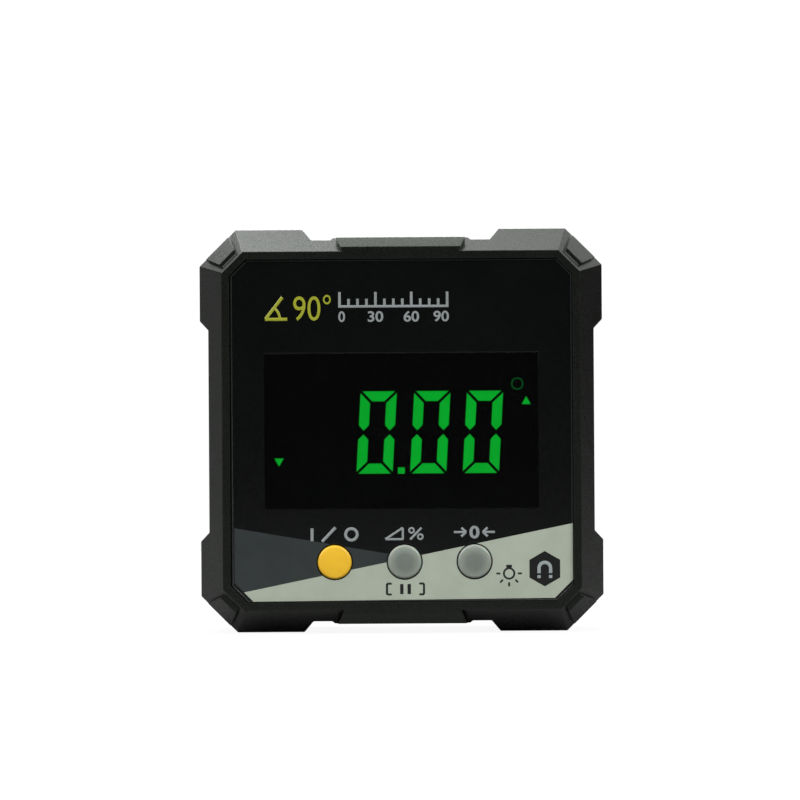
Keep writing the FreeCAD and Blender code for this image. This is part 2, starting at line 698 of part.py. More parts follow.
def sealRing(sketch, halfWidth):
    for sign in ("+", "-"):
        x = "(cavityX + sealFromWall %s (%s))" % (sign, halfWidth)
        z = "(cavityZ + sealFromWall %s (%s))" % (sign, halfWidth)
        corner = "(sealCornerCut %s (%s) * (2 - sqrt(2)))" % (sign, halfWidth)
        loop(sketch, octagon(x, z, corner))


# Rear cover with the battery bay

def rearCover():
    body = newBody("rear_cover")
    shoulder = faceSketch(body, "shoulder", "back - backChamfer")
    loop(shoulder, octagon("half", "half", "cornerCut"))
    rear = faceSketch(body, "rear", "back")
    rearHalf = "(half - backChamfer)"
    loop(rear, octagon(rearHalf, rearHalf, "(cornerCut - backChamfer * (2 - sqrt(2)))"))
    loft(body, "back_chamfer", [shoulder, rear])
    pad(body, "plate", shoulder, "seamFromBack - backChamfer")
    cutSides(body, "seam - overrun", "seamFromBack + 2 * overrun")
    tongue = faceSketch(body, "tongue", "seam")
    loop(tongue, cavity("tongueGap"))
    pad(body, "tongue_block", tongue, "tongueLength")
    hollow = faceSketch(body, "tongue_hollow", "seam - tongueLength - overrun")
    loop(hollow, cavity("tongueGap + tongueThick"))
    pocket(body, "tongue_inside", hollow, "tongueLength + overrun")
    bay = faceSketch(body, "bay", "seam")
    rectangle(bay, "0", "0", "bayX + bayWall", "bayZ + bayWall")
    pad(body, "bay_block", bay, "seam - bayFloorY + bayWall")
    relief = faceSketch(body, "post_relief", "seam - tongueLength - overrun")
    bossCircles(relief, "bossRadius + tongueGap")
    pocket(body, "post_clearance", relief, "tongueLength + overrun")
    cores = faceSketch(body, "cores", "seam - overrun")
    top = "(magnetWallZ - tongueGap - tongueThick)"
    low = "(bayZ + bayWall + coreMargin)"
    side = "(bossX - bossRadius - coreMargin)"
    for sign in ("", "-"):
        right = [(side, sign + low), (side, sign + top)]
        loop(cores, right + [("-" + x, z) for x, z in right[::-1]])
    pocket(body, "cored_out", cores, "coreDepth + overrun")
    opening = faceSketch(body, "bay_opening", "back + overrun")
    rectangle(opening, "0", "0", "bayX", "bayZ")
    pocket(body, "bay_inside", opening, "back - bayFloorY + overrun", reverse=True)
    seat = faceSketch(body, "door_seat", "back + overrun")
    rectangle(seat, "0", "0", "doorX", "doorZ")
    pocket(body, "door_recess", seat, "doorThick + doorSealThick + overrun", reverse=True)
    ridge = faceSketch(body, "ridge", "bayFloorY")
    rectangle(ridge, "0", "0", "bayX - ridgeShort", "ridgeWidth / 2")
    pad(body, "cell_ridge", ridge, "ridgeHeight", reverse=True)
    slots = faceSketch(body, "tail_slots", "bayFloorY + overrun")
    for sign in ("", "-"):
        rectangle(
            slots,
            "bayX - contactThick / 2 - tailGap / 2",
            sign + "cellPitch / 2",
            "contactThick / 2 + tailGap / 2",
            "tailHalf + tailGap",
        )
    pocket(body, "tail_holes", slots, "bayWall + 2 * overrun", reverse=True)
    hooks = faceSketch(body, "hook_slots", "doorInnerY - hookDrop + hookSlotGap")
    for sign in ("", "-"):
        low = "(bayZ - overrun)"
        high = "(bayZ + hookReach + hookSlotGap)"
        left = "(%shookX - hookWidth / 2 - hookSlotGap)" % sign
        right = "(%shookX + hookWidth / 2 + hookSlotGap)" % sign
        loop(hooks, [(left, low), (right, low), (right, high), (left, high)])
    pocket(body, "hook_holes", hooks, "hookThick + 2 * hookSlotGap", reverse=True)
    heads = faceSketch(body, "head_holes", "back + overrun")
    bossCircles(heads, "caseHeadRadius + caseHeadGap")
    pocket(body, "screw_head_holes", heads, "caseHeadSunk + overrun", reverse=True)
    shanks = faceSketch(body, "shank_holes", "back + overrun")
    bossCircles(shanks, "casePilot + caseHoleGap")
    pocket(body, "screw_holes", shanks, "bodyDepth", reverse=True)
    scoop = faceSketch(body, "scoop", "back + overrun")
    loop(
        scoop,
        [
            ("-scoopHalf", "-(doorZ - overrun)"),
            ("scoopHalf", "-(doorZ - overrun)"),
            ("scoopHalf", "-doorZ"),
            ("(scoopHalf - scoopHeight / 2)", "-(doorZ + scoopHeight)"),
            ("-(scoopHalf - scoopHeight / 2)", "-(doorZ + scoopHeight)"),
            ("-scoopHalf", "-doorZ"),
        ],
    )
    pocket(body, "finger_scoop", scoop, "scoopDepth + overrun", reverse=True)
    return body


# Face panel and keys

def facePanel():
    body = newBody("face_panel")
    outline = faceSketch(body, "panel", "panelY + panelThick")
    loop(outline, octagon("panelHalf", "panelHalf", "panelCut"))
    for _, x in keyPlaces():
        circle(outline, x, "-keyDrop", "holeRadius")
    pad(body, "plate", outline, "panelThick")
    return body


def turned(label, x, z, profile):
    """A body turned about an axis along Y, from corners given as radius and depth."""
    body = newBody(label)
    sketch = sketchOn(body, "profile", "XY_Plane", "0", "0", "0")
    loop(sketch, profile)
    revolve(body, "turned", sketch, "V_Axis")
    bind(body, Placement_Base_x=x, Placement_Base_z="half + %s" % z)
    return body


def key(name, x):
    """A key with the flange that keeps it in and the stem that works its switch."""
    flangeBack = "(flangeY + flangeThick)"
    body = turned(
        name + "_key",
        x,
        "-keyDrop",
        [
            ("0", "keyY"),
            ("keyRadius", "keyY"),
            ("keyRadius", "flangeY"),
            ("flangeRadius", "flangeY"),
            ("flangeRadius", flangeBack),
            ("stemRadius", flangeBack),
            ("stemRadius", "stemY"),
            ("0", "stemY"),
        ],
    )
    doc.recompute()
    base = body.Tip
    rounded = body.newObject("PartDesign::Fillet", "rounded_edge")
    rounded.Base = (base, edgesAt(base.Shape, base.Shape.BoundBox.YMin))
    bind(rounded, Radius="keyRound")
    return body


def plunger(name, x):
    return turned(
        name + "_plunger",
        x,
        "-keyDrop",
        [
            ("0", "stemY"),
            ("plungerRadius", "stemY"),
            ("plungerRadius", "(switchY + plungerSunk)"),
            ("0", "(switchY + plungerSunk)"),
        ],
    )


def keyGasket():
    body = newBody("key_gasket")
    sketch = faceSketch(body, "sheet", "innerY + gasketThick")
    rectangle(sketch, "keyShift", "-keyDrop", "gasketHalfX", "gasketHalfZ")
    for _, x in keyPlaces():
        circle(sketch, x, "-keyDrop", "holeRadius")
    pad(body, "gasket", sketch, "gasketThick")
    return body


def tactSwitches():
    switches = []
    for name, x in keyPlaces():
        side = "switchSide / 2"
        case = block(name + "_case", x, "switchY", "-keyDrop", side, side, "switchHeight")
        start = "switchY - overrun"
        radius = "plungerRadius + plungerGap"
        bore = rod(name + "_bore", x, start, "-keyDrop", radius, "bodyDepth", towardsBack)
        switches.append(cutOut(name + "_switch", case, bore))
    return group("tact_switches", switches)


# Display

def lcdHolder():
    body = newBody("lcd_holder")
    sketch = faceSketch(body, "frame", "boardY")
    for margin in ("glassGap", "(glassGap + frameWall)"):
        rectangle(sketch, "0", "0", "glassWidth / 2 + " + margin, "glassHeight / 2 + " + margin)
    pad(body, "holder", sketch, "boardY - innerY")
    return body


def lcdContacts():
    strips = [
        block(name, "0", "lampY", sign + "stripZ", "stripX", "stripWidth / 2", "lampThick")
        for name, sign in (("upper_strip", ""), ("lower_strip", "-"))
    ]
    return group("lcd_contacts", strips)


def backlightLeds():
    lamps = []
    for signX in ("", "-"):
        for signZ in ("", "-"):
            name = "led_%d" % len(lamps)
            x = signX + "(lampX + ledGap + ledSide / 2)"
            z = signZ + "ledOffset"
            start = "boardY - ledHeight"
            lamps.append(block(name, x, start, z, "ledSide / 2", "ledWidth / 2", "ledHeight"))
    return group("backlight_leds", lamps)


def display():
    glass = block("lcd_glass", "0", "glassY", "0", "glassWidth / 2", "glassHeight / 2", "glassThick")
    lamp = block("lcd_backlight", "0", "lampY", "0", "lampX", "lampZ", "lampThick")
    return [glass, lamp, lcdHolder(), lcdContacts(), backlightLeds()]


# Circuit board and what is on it

def circuitBoard():
    body = newBody("circuit_board")
    sketch = faceSketch(body, "board", "boardBackY")
    loop(
        sketch,
        mirrored([("boardX", "boardNotchZ"), ("boardNotchX", "boardNotchZ"), ("boardNotchX", "boardZ")]),
    )
    for x, z in boardPosts():
        circle(sketch, x, z, "boardPilot + boardHoleGap")
    pad(body, "board_plate", sketch, "boardThick")
    return body


def screw(label, x, z, seat, headRadius, headThick, shankRadius, length):
    """A screw driven towards the front, its head on the plane called seat, with a blunt point."""
    tip = "(%s - (%s))" % (seat, length)
    return turned(
        label,
        x,
        z,
        [
            ("0", "(%s + %s)" % (seat, headThick)),
            (headRadius, "(%s + %s)" % (seat, headThick)),
            (headRadius, seat),
            (shankRadius, seat),
            (shankRadius, "(%s + %s)" % (tip, shankRadius)),
            ("(%s) / 2" % shankRadius, tip),
            ("0", tip),
        ],
    )


def boardScrews():
    screws = [
        screw(
            "board_screw_%d" % i,
            x,
            z,
            "boardBackY",
            "boardScrewHead",
            "boardHeadThick",
            "(boardPilot - screwGap)",
            "boardScrewLength",
        )
        for i, (x, z) in enumerate(boardPosts(), start=1)
    ]
    return group("board_screws", screws)


def boardParts():
    side = "chipSide / 2"
    chip = block("controller_chip", "-chipX", "boardBackY", "chipZ", side, side, "chipThick")
    side = "sensorSide / 2"
    sensor = block("tilt_sensor", "sensorX", "boardBackY", "chipZ", side, side, "sensorThick")
    capacitors = [
        block(
            "capacitor_%d" % i,
            "(capX + %d * capPitch)" % i,
            "boardBackY",
            "capZ",
            "capLength / 2",
            "capWidth / 2",
            "capThick",
        )
        for i in range(capCount)
    ]
    return [chip, sensor, group("board_capacitors", capacitors)]


# Case fasteners, seal and magnets

def caseScrews():
    screws = []
    for signX in ("", "-"):
        for signZ in ("", "-"):
            body = screw(
                "case_screw_%d" % (len(screws) + 1),
                signX + "bossX",
                signZ + "bossZ",
                "caseHeadY",
                "caseHeadRadius",
                "caseHeadThick",
                "(casePilot - screwGap)",
                "caseScrewLength",
            )
            cross = sketchOn(body, "cross", "XZ_Plane", "0", "0", "-(caseHeadY + caseHeadThick)")
            arm = "crossLength / 2"
            width = "crossWidth / 2"
            loop(cross, mirrored([(arm, width), (width, width), (width, arm)]))
            pocket(body, "recess", cross, "crossDepth", reverse=True)
            screws.append(body)
    return group("case_screws", screws)


def caseSeal():
    body = newBody("case_seal")
    sketch = faceSketch(body, "ring", "seam")
    sealRing(sketch, "sealWidth / 2")
    pad(body, "seal", sketch, "sealHeight")
    return body


def magnets():
    places = (("top_magnets", "(grooveFloor - magnetThick)"), ("bottom_magnets", "-grooveFloor"))
    return [
        group(
            label,
            [
                rod(label + side, sign + "magnetX", "grooveOffset", z, "magnetRadius", "magnetThick", upwards)
                for side, sign in (("_right", ""), ("_left", "-"))
            ],
        )
        for label, z in places
    ]


# Cells and their contacts

def cell(label, sign, turn):
    """An AAA cell along X with its button to the right, or turned half round."""
    body = newBody(label)
    sketch = sketchOn(body, "profile", "XY_Plane", "0", "0", "0")
    shoulder = "(contactX - cellButtonLength)"
    end = "(contactX - cellLength)"
    loop(
        sketch,
        [
            ("contactX", "0"),
            ("contactX", "cellButton"),
            ("(%s - cellHollow)" % shoulder, "cellButton"),
            ("(%s - cellHollow)" % shoulder, "(cellRadius - 2 * cellEdge)"),
            (shoulder, "(cellRadius - 2 * cellEdge)"),
            (shoulder, "(cellRadius - cellEdge)"),
            ("(%s - cellEdge)" % shoulder, "cellRadius"),
            ("(%s + cellEdge)" % end, "cellRadius"),
            (end, "(cellRadius - cellEdge)"),
            (end, "0"),
        ],
    )
    revolve(body, "can", sketch, "H_Axis")
    body.Placement = FreeCAD.Placement(FreeCAD.Vector(), turn)
    bind(body, Placement_Base_y="cellY", Placement_Base_z="half + %scellPitch / 2" % sign)
    return body


def contactPlate(label, sign):
    """A contact at the right end of the bay, with a tail through the bay floor to the board."""
    body = newBody(label)
    sketch = sketchOn(body, "plate", "YZ_Plane", "0", "half + %scellPitch / 2" % sign, "contactX")
    low = "(bayFloorY + contactLow)"
    high = "(bayFloorY + contactHigh)"
    side = [("boardBackY", "tailHalf"), (low, "tailHalf"), (low, "contactHalf"), (high, "contactHalf")]
    loop(sketch, side + [(y, "-" + z) for y, z in side[::-1]])
    pad(body, "sheet", sketch, "contactThick")
    return body


def contactBridge():
    body = newBody("contact_bridge")
    sketch = sketchOn(body, "plate", "YZ_Plane", "bayFloorY", "half", "-bayX")
    reach = "(cellPitch / 2 + contactHalf)"
    side = [
        ("contactLow", "(%s - contactLow)" % reach),
        ("(2 * contactLow)", reach),
        ("contactHigh", reach),
    ]
    loop(sketch, side + [(y, "-" + z) for y, z in side[::-1]])
    pad(body, "sheet", sketch, "contactThick")
    return body


def springArcs(start, startWay, end, endWay):
    """Two arcs that leave the start and reach the end in the given directions."""
    chord = end - start
    both = startWay + endWay
    a = both.dot(both) - 4
    b = chord.dot(both)
    leg = (b - math.sqrt(b * b - a * chord.dot(chord))) / a
    first = start + startWay * leg
    last = end - endWay * leg
    middle = (first + last) * 0.5
    return [arcThrough(start, first, middle), arcThrough(middle, last, end)]


def arcThrough(start, corner, end):
    """The arc from start to end that is tangent to the lines through the corner."""
    centre = (start + end) * 0.5
    tilt = (centre - start).getAngle(corner - start)
    middle = centre + (corner - centre) * (math.tan(tilt / 2) / math.tan(tilt))
    return Part.Arc(start, middle, end).toShape()


def coneSpring():
    """The coil between the left contact and the upper cell, about the X axis."""
    wire = number("wireRadius")
    gap = number("springGap")
    wide = number("springWide")
    narrow = number("springNarrow")
    turns = number("springTurns")
    length = number("cellLength")
    clear = 2 * worked.contactX - length
    rise = clear - 2 * wire - 2 * gap

    def point(share):
        angle = 2 * math.pi * turns * share
        radius = wide + (narrow - wide) * share
        x = -worked.contactX + wire + gap + rise * share
        return FreeCAD.Vector(x, radius * math.cos(angle), radius * math.sin(angle))

    def way(share):
        angle = 2 * math.pi * turns * share
        radius = wide + (narrow - wide) * share
        turning = 2 * math.pi * turns
        y = (narrow - wide) * math.cos(angle) - radius * turning * math.sin(angle)
        z = (narrow - wide) * math.sin(angle) + radius * turning * math.cos(angle)
        return FreeCAD.Vector(rise, y, z).normalize()

    quarters = int(round(4 * turns))
    arcs = []
    for i in range(quarters):
        here = i / quarters
        there = (i + 1) / quarters
        arcs += springArcs(point(here), way(here), point(there), way(there))
    path = Part.Wire(arcs)
    section = Part.Wire(Part.Circle(point(0), way(0), wire).toShape())
    flats = section.discretize(int(number("springSides")) + 1)
    section = Part.makePolygon(flats)
    return path.makePipeShell([section], True, False)


def cellSprings():
    springs = []
    for name, sign, turn in (("upper", "", upwards), ("lower", "-", halfTurn)):
        spring = doc.addObject("Part::Feature", name + "_spring")
        spring.Shape = coneSpring()
        spring.Placement = FreeCAD.Placement(FreeCAD.Vector(), turn)
        bind(spring, Placement_Base_y="cellY", Placement_Base_z="half + %scellPitch / 2" % sign)
        springs.append(spring)
    return group("cell_springs", springs)


# Battery door

def batteryDoor():
    body = newBody("battery_door")
    plate = faceSketch(body, "plate", "back")
    rectangle(plate, "0", "0", "doorX - doorGap", "doorZ - doorGap")
    whole = pad(body, "door_plate", plate, "doorThick")
    doc.recompute()
    chamfer = body.newObject("PartDesign::Chamfer", "outer_chamfer")
    chamfer.Base = (whole, edgesAt(whole.Shape, whole.Shape.BoundBox.YMax))
    bind(chamfer, Size="doorChamfer")
    legs = faceSketch(body, "legs", "doorInnerY")
    legInner = "(bayZ - hookLegGap - hookLeg)"
    legOuter = "(bayZ - hookLegGap)"
    hooks = faceSketch(body, "hook_outline", "doorInnerY - hookDrop")
    for sign in ("", "-"):
        left = "(%shookX - hookWidth / 2)" % sign
        right = "(%shookX + hookWidth / 2)" % sign
        loop(legs, [(left, legInner), (right, legInner), (right, legOuter), (left, legOuter)])
        tip = "(bayZ + hookReach)"
        loop(hooks, [(left, legInner), (right, legInner), (right, tip), (left, tip)])
    pad(body, "hook_legs", legs, "hookDrop + hookThick")
    pad(body, "hooks", hooks, "hookThick")
    low = "-(doorZ - doorGap + overrun)"
    high = "-(doorZ - doorGap - tongueHeight)"
    slits = faceSketch(body, "slits", "back + overrun")
    for sign in (1, -1):
        near = "(%d * tongueHalf)" % sign
        far = "(%d * (tongueHalf + tongueSlit))" % sign
        loop(slits, [(near, low), (far, low), (far, high), (near, high)])
    pocket(body, "tongue_slits", slits, "doorThick + 2 * overrun", reverse=True)
    grip = faceSketch(body, "grip", "back + overrun")
    gripZ = "-(doorZ - doorGap - tongueHeight / 2)"
    rectangle(grip, "0", gripZ, "tongueHalf - gripMargin", "tongueHeight / 2 - gripMargin")
    pocket(body, "grip_hollow", grip, "gripDepth + overrun", reverse=True)
    ridges = faceSketch(body, "grip_ridges", "back")
    for i in range(gripCount):
        z = "(%s + %s * gripPitch)" % (gripZ, i - (gripCount - 1) / 2)
        rectangle(ridges, "0", z, "tongueHalf - gripMargin", "gripRidge / 2")
    pad(body, "ridges", ridges, "gripDepth")
    return body


def doorSeal():
    body = newBody("door_seal")
    sketch = faceSketch(body, "ring", "doorInnerY")
    for inset in ("doorSealGap", "(doorSealGap + doorSealWidth)"):
        rectangle(sketch, "0", "0", "doorX - %s" % inset, "doorZ - %s" % inset)
    pad(body, "seal", sketch, "doorSealThick")
    return body


def doorPad():
    start = "doorInnerY - padThick"
    return block("door_pad", "0", start, "0", "padLength / 2", "padHeight / 2", "padThick")


parts = [frontHousing(), rearCover(), facePanel(), keyGasket(), tactSwitches()]
for name, x in keyPlaces():
    parts += [key(name, x), plunger(name, x)]
parts += display()
parts += [circuitBoard(), boardScrews()] + boardParts()
parts += [caseScrews(), caseSeal()] + magnets()
parts += [cell("battery_cell_1", "", upwards), cell("battery_cell_2", "-", halfTurn)]
parts += [contactPlate("contact_positive", ""), contactPlate("contact_negative", "-")]
parts += [contactBridge(), cellSprings()]
parts += [batteryDoor(), doorSeal(), doorPad()]

# Every object has to be sound before anything is written
doc.recompute()
for item in doc.Objects:
    if "Invalid" in item.State or "Error" in item.State:
        raise RuntimeError("%s could not be built: %s" % (item.Name, item.State))
for part in parts:
    if part.Shape.isNull() or not part.Shape.isValid():
        raise RuntimeError("%s has no valid shape" % part.Label)

os.makedirs("parts", exist_ok=True)
for part in parts:
    part.Shape.exportStep("parts/%s.step" % part.Label)
    box = part.Shape.BoundBox
    print("%-18s %2d solids %10.1f mm3  %s" % (part.Label, len(part.Shape.Solids), part.Shape.Volume, box))
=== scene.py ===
import bpy
import math
from mathutils import Matrix, Vector


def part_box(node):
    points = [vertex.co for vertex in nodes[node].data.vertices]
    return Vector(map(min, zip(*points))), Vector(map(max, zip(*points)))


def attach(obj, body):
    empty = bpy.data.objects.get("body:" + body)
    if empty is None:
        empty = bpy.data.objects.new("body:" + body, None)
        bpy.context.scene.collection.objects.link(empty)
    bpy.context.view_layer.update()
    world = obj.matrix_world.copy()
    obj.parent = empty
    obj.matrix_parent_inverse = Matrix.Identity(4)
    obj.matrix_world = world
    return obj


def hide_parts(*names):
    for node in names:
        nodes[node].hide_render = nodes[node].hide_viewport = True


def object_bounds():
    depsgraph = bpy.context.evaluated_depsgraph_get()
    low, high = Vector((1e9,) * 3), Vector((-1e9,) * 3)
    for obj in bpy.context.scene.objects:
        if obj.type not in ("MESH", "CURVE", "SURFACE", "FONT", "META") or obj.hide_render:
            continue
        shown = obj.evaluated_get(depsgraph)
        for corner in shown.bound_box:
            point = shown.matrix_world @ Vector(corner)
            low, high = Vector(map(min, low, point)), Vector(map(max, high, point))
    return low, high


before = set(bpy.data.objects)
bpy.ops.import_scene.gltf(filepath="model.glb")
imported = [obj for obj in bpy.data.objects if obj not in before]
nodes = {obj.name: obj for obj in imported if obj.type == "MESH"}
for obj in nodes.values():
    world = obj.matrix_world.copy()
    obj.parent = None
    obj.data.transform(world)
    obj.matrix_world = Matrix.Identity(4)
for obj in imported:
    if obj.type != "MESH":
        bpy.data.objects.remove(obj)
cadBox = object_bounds()
mm = 0.001  # the settings are in millimetres, the scene in metres

lowest, highest = cadBox
panelLow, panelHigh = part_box("face_panel")
middle = Vector((0, 0, (lowest.z + highest.z) / 2))  # middle of the face
faceY = panelLow.y  # front of the face panel
print("frame loaded:", len(nodes), "nodes")


# Working in Blender

def only(piece):
    if bpy.context.object and bpy.context.object.mode != "OBJECT":
        bpy.ops.object.mode_set(mode="OBJECT")
    bpy.ops.object.select_all(action="DESELECT")
    piece.select_set(True)
    bpy.context.view_layer.objects.active = piece


def editAll(piece):
    only(piece)
    bpy.ops.object.mode_set(mode="EDIT")
    bpy.ops.mesh.select_mode(type="FACE")
    bpy.ops.mesh.select_all(action="SELECT")


def leave():
    bpy.ops.object.mode_set(mode="OBJECT")


def pickFaces(piece, test):
    # edit mode with only the faces selected that pass the test
    editAll(piece)
    bpy.ops.mesh.select_all(action="DESELECT")
    leave()
    for face in piece.data.polygons:
        face.select = bool(test(face))
    bpy.ops.object.mode_set(mode="EDIT")


def pickEdges(piece, test):
    editAll(piece)
    bpy.ops.mesh.select_mode(type="EDGE")
    bpy.ops.mesh.select_all(action="DESELECT")
    leave()
    points = piece.data.vertices
    for edge in piece.data.edges:
        edge.select = bool(test(points[edge.vertices[0]].co, points[edge.vertices[1]].co))
    bpy.ops.object.mode_set(mode="EDIT")


def settle(piece, name=None):
    only(piece)
    bpy.ops.object.transform_apply(location=True, rotation=True, scale=True)
    if name:
        piece.name = name
    return piece


def modify(piece, kind, **values):
    only(piece)
    bpy.ops.object.modifier_add(type=kind)
    modifier = piece.modifiers[-1]
    for name, value in values.items():
        setattr(modifier, name, value)
    bpy.ops.object.modifier_apply(modifier=modifier.name)


def smooth(piece, angle=35):
    only(piece)
    bpy.ops.object.shade_smooth_by_angle(angle=math.radians(angle))
    modify(piece, "WEIGHTED_NORMAL", keep_sharp=True)


def soften(piece, width, angle=28):
    # rounds every edge that is sharper than the angle, as a moulding has them
    modify(
        piece,
        "BEVEL",
        width=width * mm,
        limit_method="ANGLE",
        angle_limit=math.radians(angle),
        segments=2,
        use_clamp_overlap=False,
    )
    smooth(piece)


def copyOf(nodeName, name, flat=True):
    # a merged copy of a CAD node, its flat sides made single faces again
    piece = bpy.data.objects.new(name, nodes[nodeName].data.copy())
    bpy.context.collection.objects.link(piece)
    only(piece)
    bpy.ops.mesh.customdata_custom_splitnormals_clear()
    editAll(piece)
    bpy.ops.mesh.remove_doubles(threshold=0.0005 * mm)
    if flat:
        bpy.ops.mesh.dissolve_limited(angle_limit=math.radians(0.3))
    leave()
    return piece


def joined(pieces, name):
    only(pieces[0])
    for piece in pieces[1:]:
        piece.select_set(True)
    if len(pieces) > 1:
        bpy.ops.object.join()
    pieces[0].name = name
    return pieces[0]


def duplicate(piece, name, move=(0, 0, 0)):
    only(piece)
    bpy.ops.object.duplicate(linked=False)
    twin = bpy.context.object
    twin.location = move
    return settle(twin, name)


def wires(name, paths, radius):
    # round wires through points in metres, made one mesh
    curve = bpy.data.curves.new(name, "CURVE")
    curve.dimensions = "3D"
    curve.bevel_depth = radius
    curve.bevel_resolution = 3
    curve.use_fill_caps = True
    for points in paths:
        line = curve.splines.new("POLY")
        line.points.add(len(points) - 1)
        for spot, point in zip(line.points, points):
            spot.co = (*point, 1)
        line.use_cyclic_u = points[0] == points[-1] and len(points) > 4
    piece = bpy.data.objects.new(name, curve)
    bpy.context.collection.objects.link(piece)
    only(piece)
    bpy.ops.object.convert(target="MESH")
    return bpy.context.object


def dress(piece, look, body, slotName, *standsFor):
    piece.data.materials.clear()
    piece.data.materials.append(look)
    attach(piece, body)
    if standsFor:
        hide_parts(*standsFor)
    return piece


# Colours and nodes

def shade(red, green, blue):
    # a colour as a screen shows it, 0 to 255
    parts = [value / 255 for value in (red, green, blue)]
    parts = [p / 12.92 if p <= 0.04045 else ((p + 0.055) / 1.055) ** 2.4 for p in parts]
    return (*parts, 1)


def feed(tree, made, values):
    # links a node's inputs to sockets, or sets them to plain values
    for name, value in values.items():
        if isinstance(value, bpy.types.NodeSocket):
            tree.links.new(value, made.inputs[name])
        else:
            made.inputs[name].default_value = value


def node(tree, kind, inputs=None, **settings):
    made = tree.nodes.new("ShaderNode" + kind)
    for name, value in settings.items():
        setattr(made, name, value)
    feed(tree, made, inputs or {})
    return made


def math2(tree, operation, first, second=0.0, clamp=False):
    return node(tree, "Math", {0: first, 1: second}, operation=operation, use_clamp=clamp).outputs[0]


def ramp(tree, value, low, high, start=0.0, end=1.0):
    inputs = {"Value": value, "From Min": low, "From Max": high, "To Min": start, "To Max": end}
    return node(tree, "MapRange", inputs).outputs["Result"]


def blendColour(tree, mask, first, second):
    # the colour sockets of this node are inputs 6 and 7 and output 2
    return node(tree, "Mix", {0: mask, 6: first, 7: second}, data_type="RGBA").outputs[2]


def newGroup(name, inputs, outputs):
    tree = bpy.data.node_groups.new(name, "ShaderNodeTree")
    for kind, label, value in inputs:
        socket = tree.interface.new_socket(label, in_out="INPUT", socket_type="NodeSocket" + kind)
        socket.default_value = value
    for kind, label in outputs:
        tree.interface.new_socket(label, in_out="OUTPUT", socket_type="NodeSocket" + kind)
    return tree, tree.nodes.new("NodeGroupInput").outputs, tree.nodes.new("NodeGroupOutput").inputs


def use(tree, group, **values):
    return node(tree, "Group", values, node_tree=group).outputs


def toneGroup():
    # two close colours that drift into each other
    inputs = [("Color", "First", (0, 0, 0, 1)), ("Color", "Second", (0, 0, 0, 1)), ("Float", "Size", 1.0)]
    tree, given, out = newGroup("unevenTone", inputs, [("Color", "Color")])
    place = node(tree, "TexCoord").outputs["Object"]
    scale = math2(tree, "DIVIDE", 1 / mm, given["Size"])
    noise = node(tree, "TexNoise", {"Vector": place, "Scale": scale, "Detail": 5.0, "Roughness": 0.6})
    mask = ramp(tree, noise.outputs["Fac"], 0.35, 0.65)
    tree.links.new(blendColour(tree, mask, given["First"], given["Second"]), out["Color"])
    return tree


def grainGroup():
    # the fine texture of a mould: pits between soft bumps
    tree, given, out = newGroup("mouldGrain", [("Float", "Size", 0.1)], [("Float", "Height")])
    place = node(tree, "TexCoord").outputs["Object"]
    scale = math2(tree, "DIVIDE", 1 / mm, given["Size"])
    half = math2(tree, "MULTIPLY", scale, 0.55)
    fine = node(tree, "TexNoise", {"Vector": place, "Scale": scale, "Detail": 3.0}).outputs["Fac"]
    pits = node(tree, "TexVoronoi", {"Vector": place, "Scale": half}, feature="SMOOTH_F1").outputs["Distance"]
    tree.links.new(math2(tree, "ADD", math2(tree, "MULTIPLY", fine, 0.6), pits), out["Height"])
    return tree


def wearGroup():
    # rubbed edges: a mask where the surface turns within the radius, broken up by noise
    inputs = [("Float", "Radius", 0.3), ("Float", "Amount", 0.5), ("Float", "Size", 1.0)]
    tree, given, out = newGroup("edgeWear", inputs, [("Float", "Mask")])
    radius = math2(tree, "MULTIPLY", given["Radius"], mm)
    rounded = node(tree, "Bevel", {"Radius": radius}, samples=4).outputs["Normal"]
    facing = node(tree, "NewGeometry").outputs["Normal"]
    dot = node(tree, "VectorMath", {0: rounded, 1: facing}, operation="DOT_PRODUCT").outputs["Value"]
    edge = ramp(tree, dot, 0.995, 0.88)
    place = node(tree, "TexCoord").outputs["Object"]
    scale = math2(tree, "DIVIDE", 1 / mm, given["Size"])
    noise = node(tree, "TexNoise", {"Vector": place, "Scale": scale, "Detail": 6.0, "Roughness": 0.7})
    patches = ramp(tree, noise.outputs["Fac"], 0.42, 0.62)
    mask = math2(tree, "MULTIPLY", math2(tree, "MULTIPLY", edge, patches), given["Amount"], clamp=True)
    tree.links.new(mask, out["Mask"])
    return tree


def dustGroup():
    # a thin film with specks, thicker on what faces up
    inputs = [("Float", "Amount", 0.1), ("Float", "Size", 0.25)]
    tree, given, out = newGroup("settledDust", inputs, [("Float", "Mask")])
    place = node(tree, "TexCoord").outputs["Object"]
    scale = math2(tree, "DIVIDE", 1 / mm, given["Size"])
    specks = node(tree, "TexNoise", {"Vector": place, "Scale": scale, "Detail": 2.0}).outputs["Fac"]
    broad = math2(tree, "MULTIPLY", scale, 0.03)
    film = node(tree, "TexNoise", {"Vector": place, "Scale": broad}).outputs["Fac"]
    facing = node(tree, "SeparateXYZ", {0: node(tree, "NewGeometry").outputs["Normal"]}).outputs["Z"]
    upward = ramp(tree, facing, -0.2, 1.0, 0.25, 1.0)
    mask = math2(tree, "ADD", ramp(tree, specks, 0.66, 0.74), math2(tree, "MULTIPLY", film, 0.35))
    mask = math2(tree, "MULTIPLY", math2(tree, "MULTIPLY", mask, upward), given["Amount"], clamp=True)
    tree.links.new(mask, out["Mask"])
    return tree


unevenTone, mouldGrain, edgeWear, settledDust = toneGroup(), grainGroup(), wearGroup(), dustGroup()


def newMaterial(name, sockets):
    made = bpy.data.materials.new(name)
    made.use_nodes = True
    shader = made.node_tree.nodes["Principled BSDF"]
    for socket, value in sockets.items():
        shader.inputs[socket].default_value = value
    return made, made.node_tree, shader


